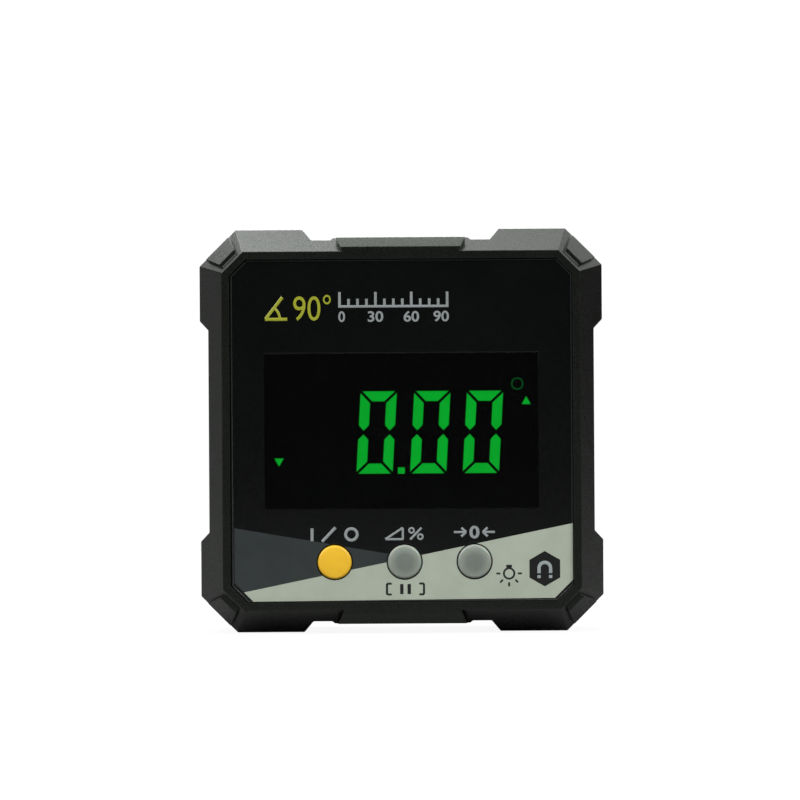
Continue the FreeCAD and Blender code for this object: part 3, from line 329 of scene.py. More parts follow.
def moulded(name, look, **sockets):
    # plastic, rubber, ink or foam: uneven tone, edge wear, dust, grain
    made, tree, shader = newMaterial(name, sockets)
    colour = use(tree, unevenTone, First=look["colour"], Second=look["second"], Size=look["patch"])["Color"]
    if look.get("wear"):
        worn = use(tree, edgeWear, Radius=look["edge"], Amount=look["wear"], Size=look["patch"] * 0.3)["Mask"]
        colour = blendColour(tree, worn, colour, look["worn"])
    if look.get("dust"):
        dust = use(tree, settledDust, Amount=look["dust"], Size=0.22)["Mask"]
        colour = blendColour(tree, dust, colour, look.get("dustTone", shade(150, 148, 140)))
    height = use(tree, mouldGrain, Size=look["grain"])["Height"]
    low, high = look["rough"]
    tree.links.new(ramp(tree, height, 0.4, 0.9, low, high), shader.inputs["Roughness"])
    bump = node(tree, "Bump", {"Strength": look["bump"], "Distance": look["depth"] * mm, "Height": height})
    tree.links.new(bump.outputs["Normal"], shader.inputs["Normal"])
    tree.links.new(colour, shader.inputs["Base Color"])
    return made


def plated(name, look, **sockets):
    # metal with faint drawn lines, stains and smudged gloss
    made, tree, shader = newMaterial(name, {"Metallic": 1.0, **sockets})
    colour = use(tree, unevenTone, First=look["colour"], Second=look["second"], Size=look["patch"])["Color"]
    place = node(tree, "TexCoord").outputs["Object"]
    stretched = node(tree, "Mapping", {"Vector": place, "Scale": look["lines"]}).outputs["Vector"]
    lines = node(tree, "TexNoise", {"Vector": stretched, "Scale": 1 / mm, "Detail": 4.0}).outputs["Fac"]
    low, high = look["rough"]
    tree.links.new(ramp(tree, lines, 0.3, 0.7, low, high), shader.inputs["Roughness"])
    bump = node(tree, "Bump", {"Strength": 0.15, "Distance": 0.01 * mm, "Height": lines})
    tree.links.new(bump.outputs["Normal"], shader.inputs["Normal"])
    tree.links.new(colour, shader.inputs["Base Color"])
    return made


# Front housing: the moulded frame, in satin black

housing = dict(edge=0.1)
housingLook = dict(
    colour=shade(8, 9, 8),
    second=shade(12, 13, 12),
    patch=6,
    worn=shade(46, 48, 46),
    edge=0.15,
    wear=0.3,
    dust=0.05,
    grain=0.16,
    rough=(0.25, 0.36),
    bump=0.14,
    depth=0.02,
)
housingGloss = {"Specular IOR Level": 0.4, "Specular Tint": (0.88, 1.0, 0.87, 1)}
housingPlastic = moulded("housingPlastic", housingLook, **housingGloss)
housingShell = copyOf("front_housing", "housingShell")
soften(housingShell, housing["edge"])
dress(housingShell, housingPlastic, "root", "housing_plastic", "front_housing")
print("front housing:", len(housingShell.data.polygons), "faces")

# Rear cover and battery door

cover = dict(edge=0.15, door=0.12)
rearShell = copyOf("rear_cover", "rearShell")
soften(rearShell, cover["edge"])
dress(rearShell, housingPlastic, "root", "housing_plastic", "rear_cover")
doorShell = copyOf("battery_door", "doorShell")
soften(doorShell, cover["door"])
dress(doorShell, housingPlastic, "door", "housing_plastic", "battery_door")
print("rear cover and door done")

# Face panel: glossy black round a clear window

panel = dict(window=(-20.35, 20.35, -11.6, 11.5), edge=0.13, play=0.02)
panelLook = dict(
    colour=shade(6, 8, 7),
    second=shade(8, 10, 9),
    patch=9,
    dust=0.012,
    grain=0.3,
    rough=(0.13, 0.18),
    bump=0.02,
    depth=0.01,
)
panelGloss = moulded("panelGloss", panelLook)


def boxAt(name, left, right, front, back, bottom, top):
    # a box from its six sides, in metres
    centre = ((left + right) / 2, (front + back) / 2, (bottom + top) / 2)
    bpy.ops.mesh.primitive_cube_add(size=1, location=centre)
    piece = bpy.context.object
    piece.scale = (right - left, back - front, top - bottom)
    return settle(piece, name)


def windowSides(shrink=0.0):
    left, right, bottom, top = (value * mm for value in panel["window"])
    return left + shrink, right - shrink, middle.z + bottom + shrink, middle.z + top - shrink


facePlate = copyOf("face_panel", "facePlate")
left, right, bottom, top = windowSides()
cutter = boxAt("windowCutter", left, right, panelLow.y - mm, panelHigh.y + mm, bottom, top)
modify(facePlate, "BOOLEAN", object=cutter, operation="DIFFERENCE", solver="EXACT")
bpy.data.objects.remove(cutter)
soften(facePlate, panel["edge"])
dress(facePlate, panelGloss, "root", "panel_print", "face_panel")

left, right, bottom, top = windowSides(panel["play"] * mm)
windowPane = boxAt("windowPane", left, right, panelLow.y, panelHigh.y, bottom, top)
paneLook = dict(tint=(0.93, 0.96, 0.94, 1), index=1.49, edge=0.03, rough=(0.01, 0.05))
soften(windowPane, paneLook["edge"])
paneClear, paneTree, paneShader = newMaterial(
    "paneClear",
    {"Transmission Weight": 1.0, "IOR": paneLook["index"], "Base Color": paneLook["tint"]},
)
smudge = use(paneTree, mouldGrain, Size=4.0)["Height"]
paneTree.links.new(ramp(paneTree, smudge, 0.3, 1.0, *paneLook["rough"]), paneShader.inputs["Roughness"])
dress(windowPane, paneClear, "root", "display_glass")
print("face panel and window done")

# Print on the panel: a dark wedge over a pale corner, from the panel's own front

printing = dict(
    thick=0.02,
    clear=0.002,
    outline=[
        (-24.97, 0, -1, 0),
        (25.38, 0, 1, 0),
        (0, -25.2, 0.007, -1),
        (-23.76, -23.76, -1, -1),
        (23.86, -23.86, 1, -1),
    ],
    paleLine=((-23.6, -23.97), (25.41, -13.94)),
    wedgeLine=((-24.89, -14.42), (1.15, -18.9)),
)
inkDefaults = dict(patch=5, dust=0.05, grain=0.12, rough=(0.3, 0.38), bump=0.03, depth=0.01)


def ink(name, colour, second, **changes):
    return moulded(name, dict(inkDefaults, colour=colour, second=second, **changes))


paleInk = ink("paleInk", shade(149, 157, 142), shade(156, 164, 150))
wedgeInk = ink("wedgeInk", shade(37, 42, 43), shade(41, 46, 46))
greyInk = ink("greyInk", shade(124, 130, 130), shade(131, 136, 137))
silverInk = ink("silverInk", shade(134, 142, 142), shade(141, 149, 149))
yellowInk = ink("yellowInk", shade(138, 143, 35), shade(144, 148, 40))
darkInk = ink("darkInk", shade(11, 13, 12), shade(14, 16, 15), dust=0.02)
borderInk = ink("borderInk", shade(27, 29, 30), shade(33, 35, 35))


def facePoint(x, z, lift=0.0):
    return Vector((x * mm, faceY - lift * mm, middle.z + z * mm))


def cutAway(piece, point, outward):
    editAll(piece)
    bpy.ops.mesh.bisect(plane_co=point, plane_no=outward, clear_outer=True, threshold=1e-8)
    leave()


def lineCut(piece, line, keepBelow):
    (x1, z1), (x2, z2) = line
    normal = Vector((-(z2 - z1), 0, x2 - x1)).normalized()
    cutAway(piece, facePoint(x1, z1), normal if keepBelow else -normal)


def inkSheet(piece, lift):
    # gives a flat sheet its printed thickness, its front lift above the panel and its back clear of it
    piece.location.y = -lift * mm
    settle(piece)
    modify(piece, "SOLIDIFY", thickness=(lift - printing["clear"]) * mm, offset=-1)
    smooth(piece, 30)


def printArea(name, cuts, look):
    piece = copyOf("face_panel", name, flat=False)
    pickFaces(piece, lambda face: face.normal.y > -0.9)
    bpy.ops.mesh.delete(type="FACE")
    leave()
    for x, z, acrossX, acrossZ in printing["outline"]:
        cutAway(piece, facePoint(x, z), Vector((acrossX, 0, acrossZ)).normalized())
    for line, keepBelow in cuts:
        lineCut(piece, line, keepBelow)
    inkSheet(piece, printing["thick"])
    dress(piece, look, "root", "panel_print")


printArea("palePrint", [(printing["paleLine"], True)], paleInk)
printArea("wedgePrint", [(printing["paleLine"], False), (printing["wedgeLine"], True)], wedgeInk)
print("panel print done")

# Signs in place of the words: plain numbers and plain pictures

signs = dict(lift=0.035, percent=0.28, fine=0.34, slim=0.36, stroke=0.4, bold=0.45, angle=0.5, pause=0.62)


def strokes(paths, width, lift=signs["lift"]):
    # lines of one width through points in millimetres from the middle of the face
    placed = [[(x * mm, 0, z * mm) for x, z in points] for points in paths]
    piece = wires("strokes", placed, width / 2 * mm)
    piece.scale.y = lift / (width / 2)
    piece.location = (0, faceY, middle.z)
    return settle(piece)


def arc(x, z, radius, start=0, end=360, count=32):
    turn = [math.radians(start + (end - start) * i / count) for i in range(count)]
    if abs(end - start) < 360:
        turn.append(math.radians(end))
    return [(x + radius * math.cos(a), z + radius * math.sin(a)) for a in turn]


def ring(x, z, radius, width, lift=signs["lift"]):
    points = arc(x, z, radius)
    return strokes([points + points[:1]], width, lift)


def numbers(text, left, right, bottom, top, weight=0.0, lift=signs["lift"]):
    # a plain number fitted to its place on the face
    bpy.ops.object.text_add()
    item = bpy.context.object
    item.data.body = text
    item.data.offset = weight
    bpy.ops.object.convert(target="MESH")
    piece = bpy.context.object
    xs = [v.co.x for v in piece.data.vertices]
    ys = [v.co.y for v in piece.data.vertices]
    wide = (right - left) * mm / (max(xs) - min(xs))
    tall = (top - bottom) * mm / (max(ys) - min(ys))
    piece.scale = (wide, tall, 1)
    piece.rotation_euler = (math.radians(90), 0, 0)
    piece.location = facePoint(left, bottom) - Vector((min(xs) * wide, 0, min(ys) * tall))
    settle(piece)
    inkSheet(piece, lift)
    return piece


def filled(points, lift=signs["lift"]):
    # a flat shape cut from a plane
    bpy.ops.mesh.primitive_circle_add(vertices=len(points), radius=1, fill_type="NGON")
    piece = bpy.context.object
    for vertex, (x, z) in zip(piece.data.vertices, points):
        vertex.co = facePoint(x, z)
    editAll(piece)
    bpy.ops.mesh.normals_make_consistent(inside=False)
    leave()
    if piece.data.polygons[0].normal.y > 0:
        editAll(piece)
        bpy.ops.mesh.flip_normals()
        leave()
    inkSheet(piece, lift)
    return piece


# the clear border of the panel, outside its print
border = dict(left=-25.22, right=25.33, low=-25.33, high=25.33, cut=2.31, width=0.22, lift=0.015)
left, right, low, high = (border[side] for side in ("left", "right", "low", "high"))
cut = border["cut"]
corners = [
    (left, low + cut),
    (left, high - cut),
    (left + cut, high),
    (right - cut, high),
    (right, high - cut),
    (right, low + cut),
    (right - cut, low),
    (left + cut, low),
]
borderLine = strokes([corners + corners[:1]], border["width"], border["lift"])
panelBorder = joined([borderLine], "panelBorder")
dress(panelBorder, borderInk, "root", "panel_print")

# yellow: an angle and its number
angleSides = [[(-20.2, 16.6), (-16.9, 16.6)], [(-20.1, 16.7), (-17.6, 19.9)]]
angleSign = strokes(angleSides, signs["angle"])
angleArc = strokes([arc(-20.1, 16.6, 2.1, 0, 51, 12)], signs["stroke"])
angleNumber = numbers("90°", -16.0, -10.4, 16.4, 20.2)
yellowSign = joined([angleSign, angleArc, angleNumber], "yellowSign")
dress(yellowSign, yellowInk, "root", "panel_print")

# grey: a scale of degrees
scale = dict(left=-9.1, right=6.9, low=18.45, long=20.6, short=19.6, steps=12, numbersAt=(16.15, 17.75))
step = (scale["right"] - scale["left"]) / scale["steps"]
ticks = []
for i in range(scale["steps"] + 1):
    x = scale["left"] + i * step
    height = scale["long"] if i % 4 == 0 else scale["short"]
    ticks.append([(x, scale["low"]), (x, height)])
ticks.append([(scale["left"] - 0.2, scale["low"]), (scale["right"] + 0.2, scale["low"])])
greyPieces = [strokes(ticks, signs["stroke"])]
for i, text in ((0, "0"), (4, "30"), (8, "60"), (12, "90")):
    x = scale["left"] + i * step
    half = 0.5 if len(text) == 1 else 1.15
    shift = 0.3 if i == 0 else (-0.9 if i == 12 else 0)
    greyPieces.append(numbers(text, x + shift - half, x + shift + half, *scale["numbersAt"], weight=0.02))

# grey: on and off, slope, zero
onStrokes = [[(-13.4, -16.4), (-13.4, -14.5)], [(-11.9, -16.5), (-9.9, -14.4)]]
greyPieces.append(strokes(onStrokes, signs["bold"]))
greyPieces.append(ring(-7.55, -15.45, 0.86, signs["bold"]))
slope = [[(-2.5, -16.2), (0.2, -16.2)], [(0.1, -16.2), (0.1, -14.5)], [(0.1, -14.5), (-2.5, -16.2)]]
greyPieces.append(strokes(slope, signs["fine"]))
greyPieces.append(strokes([[(1.2, -16.25), (2.9, -14.5)]], signs["fine"]))
greyPieces += [ring(x, z, 0.36, signs["percent"]) for x, z in ((1.4, -14.9), (2.7, -15.85))]
arrows = [
    [(7.7, -15.2), (9.5, -15.2)],
    [(8.8, -14.55), (9.5, -15.2)],
    [(8.8, -15.85), (9.5, -15.2)],
    [(13.8, -15.2), (12.0, -15.2)],
    [(12.7, -14.55), (12.0, -15.2)],
    [(12.7, -15.85), (12.0, -15.2)],
]
greyPieces.append(strokes(arrows, signs["slim"]))
greyPieces.append(numbers("0", 10.0, 11.5, -16.15, -14.25, weight=0.03))
greySigns = joined(greyPieces, "greySigns")
dress(greySigns, greyInk, "root", "panel_print")

# dark on the pale print: pause, lamp, magnet shield
brackets = [
    [(-2.3, -24.4), (-2.3, -22.8)],
    [(-2.3, -24.4), (-1.6, -24.4)],
    [(-2.3, -22.8), (-1.6, -22.8)],
    [(3.2, -24.4), (3.2, -22.8)],
    [(3.2, -24.4), (2.5, -24.4)],
    [(3.2, -22.8), (2.5, -22.8)],
]
pauseBars = [[(-0.1, -24.35), (-0.1, -22.85)], [(1.0, -24.35), (1.0, -22.85)]]
darkPieces = [strokes(brackets, signs["stroke"]), strokes(pauseBars, signs["pause"])]
bulb = dict(x=15.87, z=-21.38, radius=0.78, width=0.38, rays=(1.3, 1.9), half=0.42, cap=1.08, capWidth=0.55)
lampX, lampZ = bulb["x"], bulb["z"]
rays = []
for angle in (0, 180, 225, 270, 315):
    wayX, wayZ = math.cos(math.radians(angle)), math.sin(math.radians(angle))
    rays.append([(lampX + wayX * reach, lampZ + wayZ * reach) for reach in bulb["rays"]])
darkPieces += [ring(lampX, lampZ, bulb["radius"], bulb["width"]), strokes(rays, signs["slim"])]
cap = [(lampX + side * bulb["half"], lampZ + bulb["cap"]) for side in (-1, 1)]
darkPieces.append(strokes([cap], bulb["capWidth"]))
shield = dict(x=21.18, z=-20.7, reach=2.63, lift=0.03)
shieldX, shieldZ = shield["x"], shield["z"]
hexagon = []
for angle in range(0, 360, 60):
    wayX, wayZ = math.sin(math.radians(angle)), math.cos(math.radians(angle))
    hexagon.append((shieldX + shield["reach"] * wayX, shieldZ + shield["reach"] * wayZ))
darkPieces.append(filled(hexagon, shield["lift"]))
darkSigns = joined(darkPieces, "darkSigns")
dress(darkSigns, darkInk, "root", "panel_print")

# silver on the shield: a horseshoe magnet with two tips
magnet = dict(radius=0.86, raised=0.08, foot=0.66, tips=(0.96, 1.4), width=0.7, lift=0.045)
radius, foot = magnet["radius"], shieldZ - magnet["foot"]
bow = arc(shieldX, shieldZ + magnet["raised"], radius, 0, 180, 16)
limbs = [[(shieldX - radius, foot)] + bow[::-1] + [(shieldX + radius, foot)]]
tips = [[(shieldX + side * radius, shieldZ - reach) for reach in magnet["tips"]] for side in (-1, 1)]
magnetPieces = [strokes(paths, magnet["width"], magnet["lift"]) for paths in (limbs, tips)]
magnetSign = joined(magnetPieces, "magnetSign")
dress(magnetSign, silverInk, "root", "panel_print")
print("signs done")

# Display: lit segments on dark glass

display = dict(
    bottom=-6.64,
    height=12.68,
    width=5.8,
    lefts=(-6.98, 1.02, 8.88),
    bar=1.9,
    point=1.0,
    gap=0.4,
    slant=3.3,
    lift=0.02,
)
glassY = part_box("lcd_glass")[0].y
glassLook = dict(
    colour=shade(1, 2, 2),
    second=shade(2, 3, 3),
    patch=12,
    grain=1.5,
    rough=(0.1, 0.16),
    bump=0.01,
    depth=0.01,
)
displayGlass = moulded("displayGlass", glassLook, **{"Specular IOR Level": 0.15})


def glowing(name, colour, second):
    made, tree, shader = newMaterial(name, {"Emission Strength": 1.0, "Base Color": (0.001, 0.004, 0.001, 1)})
    tone = use(tree, unevenTone, First=colour, Second=second, Size=4.0)["Color"]
    tree.links.new(tone, shader.inputs["Emission Color"])
    rough = use(tree, mouldGrain, Size=0.2)["Height"]
    tree.links.new(ramp(tree, rough, 0.3, 1.0, 0.1, 0.16), shader.inputs["Roughness"])
    return made


litGreen = glowing("litGreen", shade(0, 163, 38), shade(0, 170, 42))
dimGreen = glowing("dimGreen", shade(0, 80, 30), shade(0, 88, 34))


def ontoGlass(piece):
    # from the plane z = 0, in millimetres, to just in front of the display glass
    piece.data.transform(Matrix.Scale(mm, 4))
    piece.rotation_euler = (math.radians(90), 0, 0)
    piece.location = (0, glassY - display["lift"] * mm, middle.z)
    settle(piece)
    modify(piece, "SOLIDIFY", thickness=display["lift"] * 0.9 * mm, offset=-1)
    return piece


def digitZero(left):
    # a framed plane: four mitred bars, the upright ones pointed where they meet
    wide, tall, bar = display["width"], display["height"], display["bar"]
    bpy.ops.mesh.primitive_plane_add(size=1)
    piece = bpy.context.object
    piece.scale = (wide, tall, 1)
    settle(piece)
    editAll(piece)
    bpy.ops.mesh.inset(thickness=bar, use_boundary=True)
    bpy.ops.mesh.delete(type="FACE")
    for height in (0, display["point"], -display["point"]):
        bpy.ops.mesh.select_all(action="SELECT")
        bpy.ops.mesh.bisect(plane_co=(0, height, 0), plane_no=(0, 1, 0), threshold=1e-4)
    leave()
    for side in (-1, 1):
        pickEdges(piece, lambda a, b: abs(a.y) < 1e-3 and abs(b.y) < 1e-3 and a.x * side > 0)
        bpy.ops.mesh.merge(type="CENTER")
        leave()
    pickEdges(piece, lambda a, b: abs(abs(a.y) - display["point"]) < 1e-3 and abs(a.y - b.y) < 1e-3)
    bpy.ops.mesh.dissolve_edges(use_verts=False)
    bpy.ops.mesh.select_mode(type="FACE")
    bpy.ops.mesh.select_all(action="SELECT")
    bpy.ops.mesh.inset(thickness=display["gap"] / 2, use_individual=True)
    bpy.ops.mesh.select_all(action="INVERT")
    bpy.ops.mesh.delete(type="FACE")
    leave()
    slant = math.tan(math.radians(display["slant"]))
    piece.data.transform(Matrix(((1, slant, 0, 0), (0, 1, 0, 0), (0, 0, 1, 0), (0, 0, 0, 1))))
    lean = slant * tall / 2
    piece.location = (left + wide / 2 + lean, display["bottom"] + tall / 2, 0)
    return settle(piece)


def flatShape(points):
    bpy.ops.mesh.primitive_circle_add(vertices=len(points), radius=1, fill_type="NGON")
    piece = bpy.context.object
    for vertex, (x, z) in zip(piece.data.vertices, points):
        vertex.co = (x, z, 0)
    if piece.data.polygons[0].normal.z < 0:
        editAll(piece)
        bpy.ops.mesh.flip_normals()
        leave()
    return piece


lit = [digitZero(left) for left in display["lefts"]]
lit.append(flatShape([(-0.57, -6.47), (0.45, -6.47), (0.45, -5.53), (-0.57, -5.53)]))
lit.append(flatShape([(17.95, 3.8), (19.3, 3.8), (18.62, 5.0)]))
lit.append(flatShape([(-19.0, -4.1), (-18.3, -5.3), (-17.6, -4.1)]))
litSegments = ontoGlass(joined(lit, "litSegments"))
dress(litSegments, litGreen, "root", "display_glass")
bpy.ops.mesh.primitive_circle_add(vertices=48, radius=0.9, fill_type="NGON", location=(17.3, 6.87, 0))
degreeRing = settle(bpy.context.object, "degreeRing")
editAll(degreeRing)
bpy.ops.mesh.inset(thickness=0.16)
bpy.ops.mesh.delete(type="FACE")
leave()
ontoGlass(degreeRing)
dress(degreeRing, dimGreen, "root", "display_glass")
print("display done")

# Keys: one turned button, copied

keys = dict(
    radius=2.52,
    round=0.4,
    dome=0.12,
    rings=5,
    flange=3.25,
    stem=1.6,
    flangeFrom=-10.2,
    flangeThick=0.8,
)
yellowLook = dict(
    colour=shade(220, 173, 31),
    second=shade(214, 167, 29),
    patch=3,
    grain=0.1,
    rough=(0.4, 0.5),
    bump=0.08,
    depth=0.02,
    dust=0.04,
)
keyYellow = moulded("keyYellow", yellowLook)
greyLook = dict(
    colour=shade(101, 110, 103),
    second=shade(107, 114, 108),
    # painted light: the paler colour towards the edge of the grey keys
    rim=shade(143, 151, 139),
    patch=1.5,
    rough=(0.3, 0.42),
)


def milkyWithPaintedLight(name, look):
    # translucent grey with painted light: paler towards the edge of the key and a little paler on its upper
    # half, as if light came through it and fell from above
    made, tree, shader = newMaterial(name, {"Subsurface Weight": 0.25, "Subsurface Scale": 0.0008})
    # painted light: a mask made with the key, paler at its edge and on its upper half
    depth = node(tree, "Attribute", attribute_name="rim").outputs["Fac"]
    tone = use(tree, unevenTone, First=look["colour"], Second=look["second"], Size=look["patch"])["Color"]
    colour = blendColour(tree, ramp(tree, depth, 0.4, 1.0), tone, look["rim"])
    tree.links.new(colour, shader.inputs["Base Color"])
    height = use(tree, mouldGrain, Size=0.12)["Height"]
    tree.links.new(ramp(tree, height, 0.3, 1.0, *look["rough"]), shader.inputs["Roughness"])
    bump = node(tree, "Bump", {"Strength": 0.06, "Distance": 0.02 * mm, "Height": height})
    tree.links.new(bump.outputs["Normal"], shader.inputs["Normal"])
    return made


keyGrey = milkyWithPaintedLight("keyGrey", greyLook)


def turnedKey():
    low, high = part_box("hold_key")
    front, back = low.y, high.y
    seat = keys["flangeFrom"] * mm
    x, z = (low.x + high.x) / 2, (low.z + high.z) / 2
    centre = (x, (front + seat) / 2, z)
    turn = (math.radians(90), 0, 0)
    bpy.ops.mesh.primitive_cylinder_add(
        vertices=96, radius=keys["radius"] * mm, depth=seat - front, location=centre, rotation=turn
    )
    piece = settle(bpy.context.object)
    pickEdges(piece, lambda a, b: a.y < front + 1e-7 and b.y < front + 1e-7)
    bpy.ops.mesh.bevel(offset=keys["round"] * mm, segments=6, profile=0.5)
    leave()
    flat = keys["radius"] - keys["round"]
    share = flat / keys["rings"]
    pickFaces(piece, lambda face: face.normal.y < -0.999 and len(face.vertices) > 8)
    for i in range(keys["rings"] - 1):
        radius = flat - share * i
        rise = keys["dome"] * (radius ** 2 - (radius - share) ** 2) / flat ** 2
        bpy.ops.mesh.inset(thickness=share * mm, depth=rise * mm)
    leave()
    pickFaces(piece, lambda face: face.normal.y > 0.999 and len(face.vertices) > 8)
    whole = Vector((x, seat, z))
    steps = ((keys["radius"], keys["flange"], keys["flangeThick"]), (keys["flange"], keys["stem"], None))
    for before, after, length in steps:
        bpy.ops.mesh.extrude_region_move(TRANSFORM_OT_translate={"value": (0, 0, 0)})
        factor = after / before
        bpy.ops.transform.resize(value=(factor, 1, factor), center_override=whole)
        travel = length * mm if length else back - seat - keys["flangeThick"] * mm
        bpy.ops.mesh.extrude_region_move(TRANSFORM_OT_translate={"value": (0, travel, 0)})
    leave()
    rim = piece.data.attributes.new("rim", "FLOAT", "POINT")
    # painted light: paler towards the edge, and a little paler above the middle than below it
    for vertex in piece.data.vertices:
        reach = math.hypot(vertex.co.x - x, vertex.co.z - z) / (keys["radius"] * mm)
        raised = (vertex.co.z - z) / (keys["radius"] * mm)
        rim.data[vertex.index].value = min(1, reach) * (0.9 + 0.1 * raised)
    smooth(piece, 30)
    return piece


master = turnedKey()
holdX = sum(corner.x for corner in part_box("hold_key")) / 2
for name, look, body, slotName in (
    ("power", keyYellow, "power_button", "yellow_key"),
    ("hold", keyGrey, "hold_button", "grey_key"),
    ("zero", keyGrey, "zero_button", "grey_key"),
):
    shift = sum(corner.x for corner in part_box(name + "_key")) / 2 - holdX
    button = duplicate(master, name + "Button", (shift, 0, 0))
    dress(button, look, body, slotName, name + "_key")
bpy.data.objects.remove(master)
print("keys done")

# Magnets, screws and contacts

steelLook = dict(
    colour=shade(150, 150, 148),
    second=shade(128, 128, 127),
    patch=2,
    lines=(1, 1, 1),
    rough=(0.25, 0.4),
)
nickelLook = dict(
    colour=shade(146, 144, 138),
    second=shade(134, 132, 127),
    patch=3,
    lines=(1, 1, 1),
    rough=(0.4, 0.5),
)
stripLook = dict(
    colour=shade(190, 187, 178),
    second=shade(178, 175, 166),
    patch=3,
    lines=(0.2, 4, 4),
    rough=(0.22, 0.36),
)
screwSteel = plated("screwSteel", steelLook)
magnetNickel = plated("magnetNickel", nickelLook)
contactNickel = plated("contactNickel", stripLook)
for source, name, look, slotName, edge in (
    ("case_screws", "caseScrews", screwSteel, "screw_steel", 0.12),
    ("top_magnets", "topMagnets", magnetNickel, "magnet_nickel", 0.2),
    ("bottom_magnets", "bottomMagnets", magnetNickel, "magnet_nickel", 0.2),
    ("contact_positive", "contactPositive", contactNickel, "contact_nickel", 0.08),
    ("contact_negative", "contactNegative", contactNickel, "contact_nickel", 0.08),
    ("contact_bridge", "contactBridge", contactNickel, "contact_nickel", 0.08),
):
    piece = copyOf(source, name)
    soften(piece, edge)
    dress(piece, look, "root", slotName, source)
print("screws, magnets and contacts done")

# Cell springs: a cone of wire that closes flat on the plate

spring = dict(wire=0.3, wide=3.3, narrow=2.1, turns=2.5, perTurn=28)


def coil(name, plateX, cellX, cellNode, turn):
    low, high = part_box(cellNode)
    y, z = (low.y + high.y) / 2, (low.z + high.z) / 2
    way = 1 if cellX > plateX else -1
    start = plateX + way * spring["wire"] * mm
    end = cellX - way * spring["wire"] * mm
    count = int(spring["turns"] * spring["perTurn"])
    points = []
    for i in range(count + 1):
        share = i / count
        radius = (spring["wide"] + (spring["narrow"] - spring["wide"]) * share) * mm
        angle = turn + 2 * math.pi * spring["turns"] * share
        x = start + (end - start) * share
        points.append((x, y + radius * math.cos(angle), z + radius * math.sin(angle)))
    piece = wires(name, [points], spring["wire"] * mm)
    smooth(piece, 40)
    return piece


upperCell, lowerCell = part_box("battery_cell_1"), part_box("battery_cell_2")
bridgeX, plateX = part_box("contact_bridge")[1].x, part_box("contact_negative")[0].x
upperCoil = coil("upperCoil", bridgeX, upperCell[0].x, "battery_cell_1", 0)
lowerCoil = coil("lowerCoil", plateX, lowerCell[1].x, "battery_cell_2", math.pi)
cellCoils = joined([upperCoil, lowerCoil], "cellCoils")
dress(cellCoils, contactNickel, "root", "contact_nickel", "cell_springs")
print("springs done")

# Cells: plain wraps, a band at the positive end

cells = dict(band=0.24, ring=0.012, ringGap=0.02, cap=0.43, edge=0.15)
wrapLook = dict(colour=shade(196, 199, 200), second=shade(188, 192, 194), band=shade(38, 70, 120), patch=5)
capLook = dict(
    colour=shade(188, 186, 180),
    second=shade(176, 174, 168),
    patch=2,
    lines=(1, 1, 1),
    rough=(0.22, 0.34),
)
cellCap = plated("cellCap", capLook)


def wrapMaterial():
    made, tree, shader = newMaterial("cellWrap", {"Coat Weight": 0.4, "Coat Roughness": 0.15})
    along = node(tree, "Attribute", attribute_name="along").outputs["Fac"]
    look = wrapLook
    colour = use(tree, unevenTone, First=look["colour"], Second=look["second"], Size=look["patch"])["Color"]
    band = math2(tree, "GREATER_THAN", along, 1 - cells["band"])
    colour = blendColour(tree, band, colour, look["band"])
    line = math2(tree, "COMPARE", along, 1 - cells["band"] - cells["ringGap"])
    line.node.inputs[2].default_value = cells["ring"]
    colour = blendColour(tree, line, colour, look["band"])
    tree.links.new(colour, shader.inputs["Base Color"])
    height = use(tree, mouldGrain, Size=0.4)["Height"]
    tree.links.new(ramp(tree, height, 0.3, 1.0, 0.22, 0.34), shader.inputs["Roughness"])
    bump = node(tree, "Bump", {"Strength": 0.05, "Distance": 0.02 * mm, "Height": height})
    tree.links.new(bump.outputs["Normal"], shader.inputs["Normal"])
    return made


cellWrap = wrapMaterial()
for source, name, positive in (("battery_cell_1", "upperCell", 1), ("battery_cell_2", "lowerCell", -1)):
    low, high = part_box(source)
    piece = copyOf(source, name, flat=False)
    soften(piece, cells["edge"], angle=40)
    along = piece.data.attributes.new("along", "FLOAT", "POINT")
    start, end = (low.x, high.x) if positive > 0 else (high.x, low.x)
    for vertex in piece.data.vertices:
        along.data[vertex.index].value = (vertex.co.x - start) / (end - start)
    dress(piece, cellWrap, "root", "cell_wrap", source)
    piece.data.materials.append(cellCap)
    y, z = (low.y + high.y) / 2, (low.z + high.z) / 2
    for face in piece.data.polygons:
        reach = math.hypot(face.center.y - y, face.center.z - z)
        face.material_index = 1 if reach < (high.y - low.y) * cells["cap"] else 0
print("cells done")

# Foam strip on the door

foam = dict(inset=0.1, cuts=15, edge=0.5, lumps=0.25, lumpSize=2.2, level=0.6)
foamLook = dict(
    colour=shade(62, 63, 66),
    second=shade(74, 75, 78),
    patch=1.2,
    grain=0.3,
    rough=(0.85, 0.98),
    bump=0.6,
    depth=0.15,
)
foamGrey = moulded("foamGrey", foamLook)
low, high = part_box("door_pad")
foamStrip = boxAt("foamStrip", low.x, high.x, low.y + foam["inset"] * mm, high.y, low.z, high.z)
editAll(foamStrip)
bpy.ops.mesh.subdivide(number_cuts=foam["cuts"])
leave()
modify(foamStrip, "BEVEL", width=foam["edge"] * mm, segments=3, limit_method="ANGLE")
cloud = bpy.data.textures.new("foamLumps", "CLOUDS")
cloud.noise_scale = foam["lumpSize"] * mm
lumps = dict(texture=cloud, strength=foam["lumps"] * mm, mid_level=foam["level"], texture_coords="LOCAL")
modify(foamStrip, "DISPLACE", **lumps)
only(foamStrip)
bpy.ops.object.shade_smooth()
dress(foamStrip, foamGrey, "door", "foam", "door_pad")
print("foam done")

# What stays as it comes from the frame

rubberLook = dict(
    colour=shade(30, 30, 31),
    second=shade(36, 36, 37),
    patch=2,
    grain=0.2,
    rough=(0.6, 0.75),
    bump=0.1,
    depth=0.03,
)


def likeRubber(name, **changes):
    # the grain of the rubber, with other colours or another gloss
    return moulded(name, dict(rubberLook, **changes))


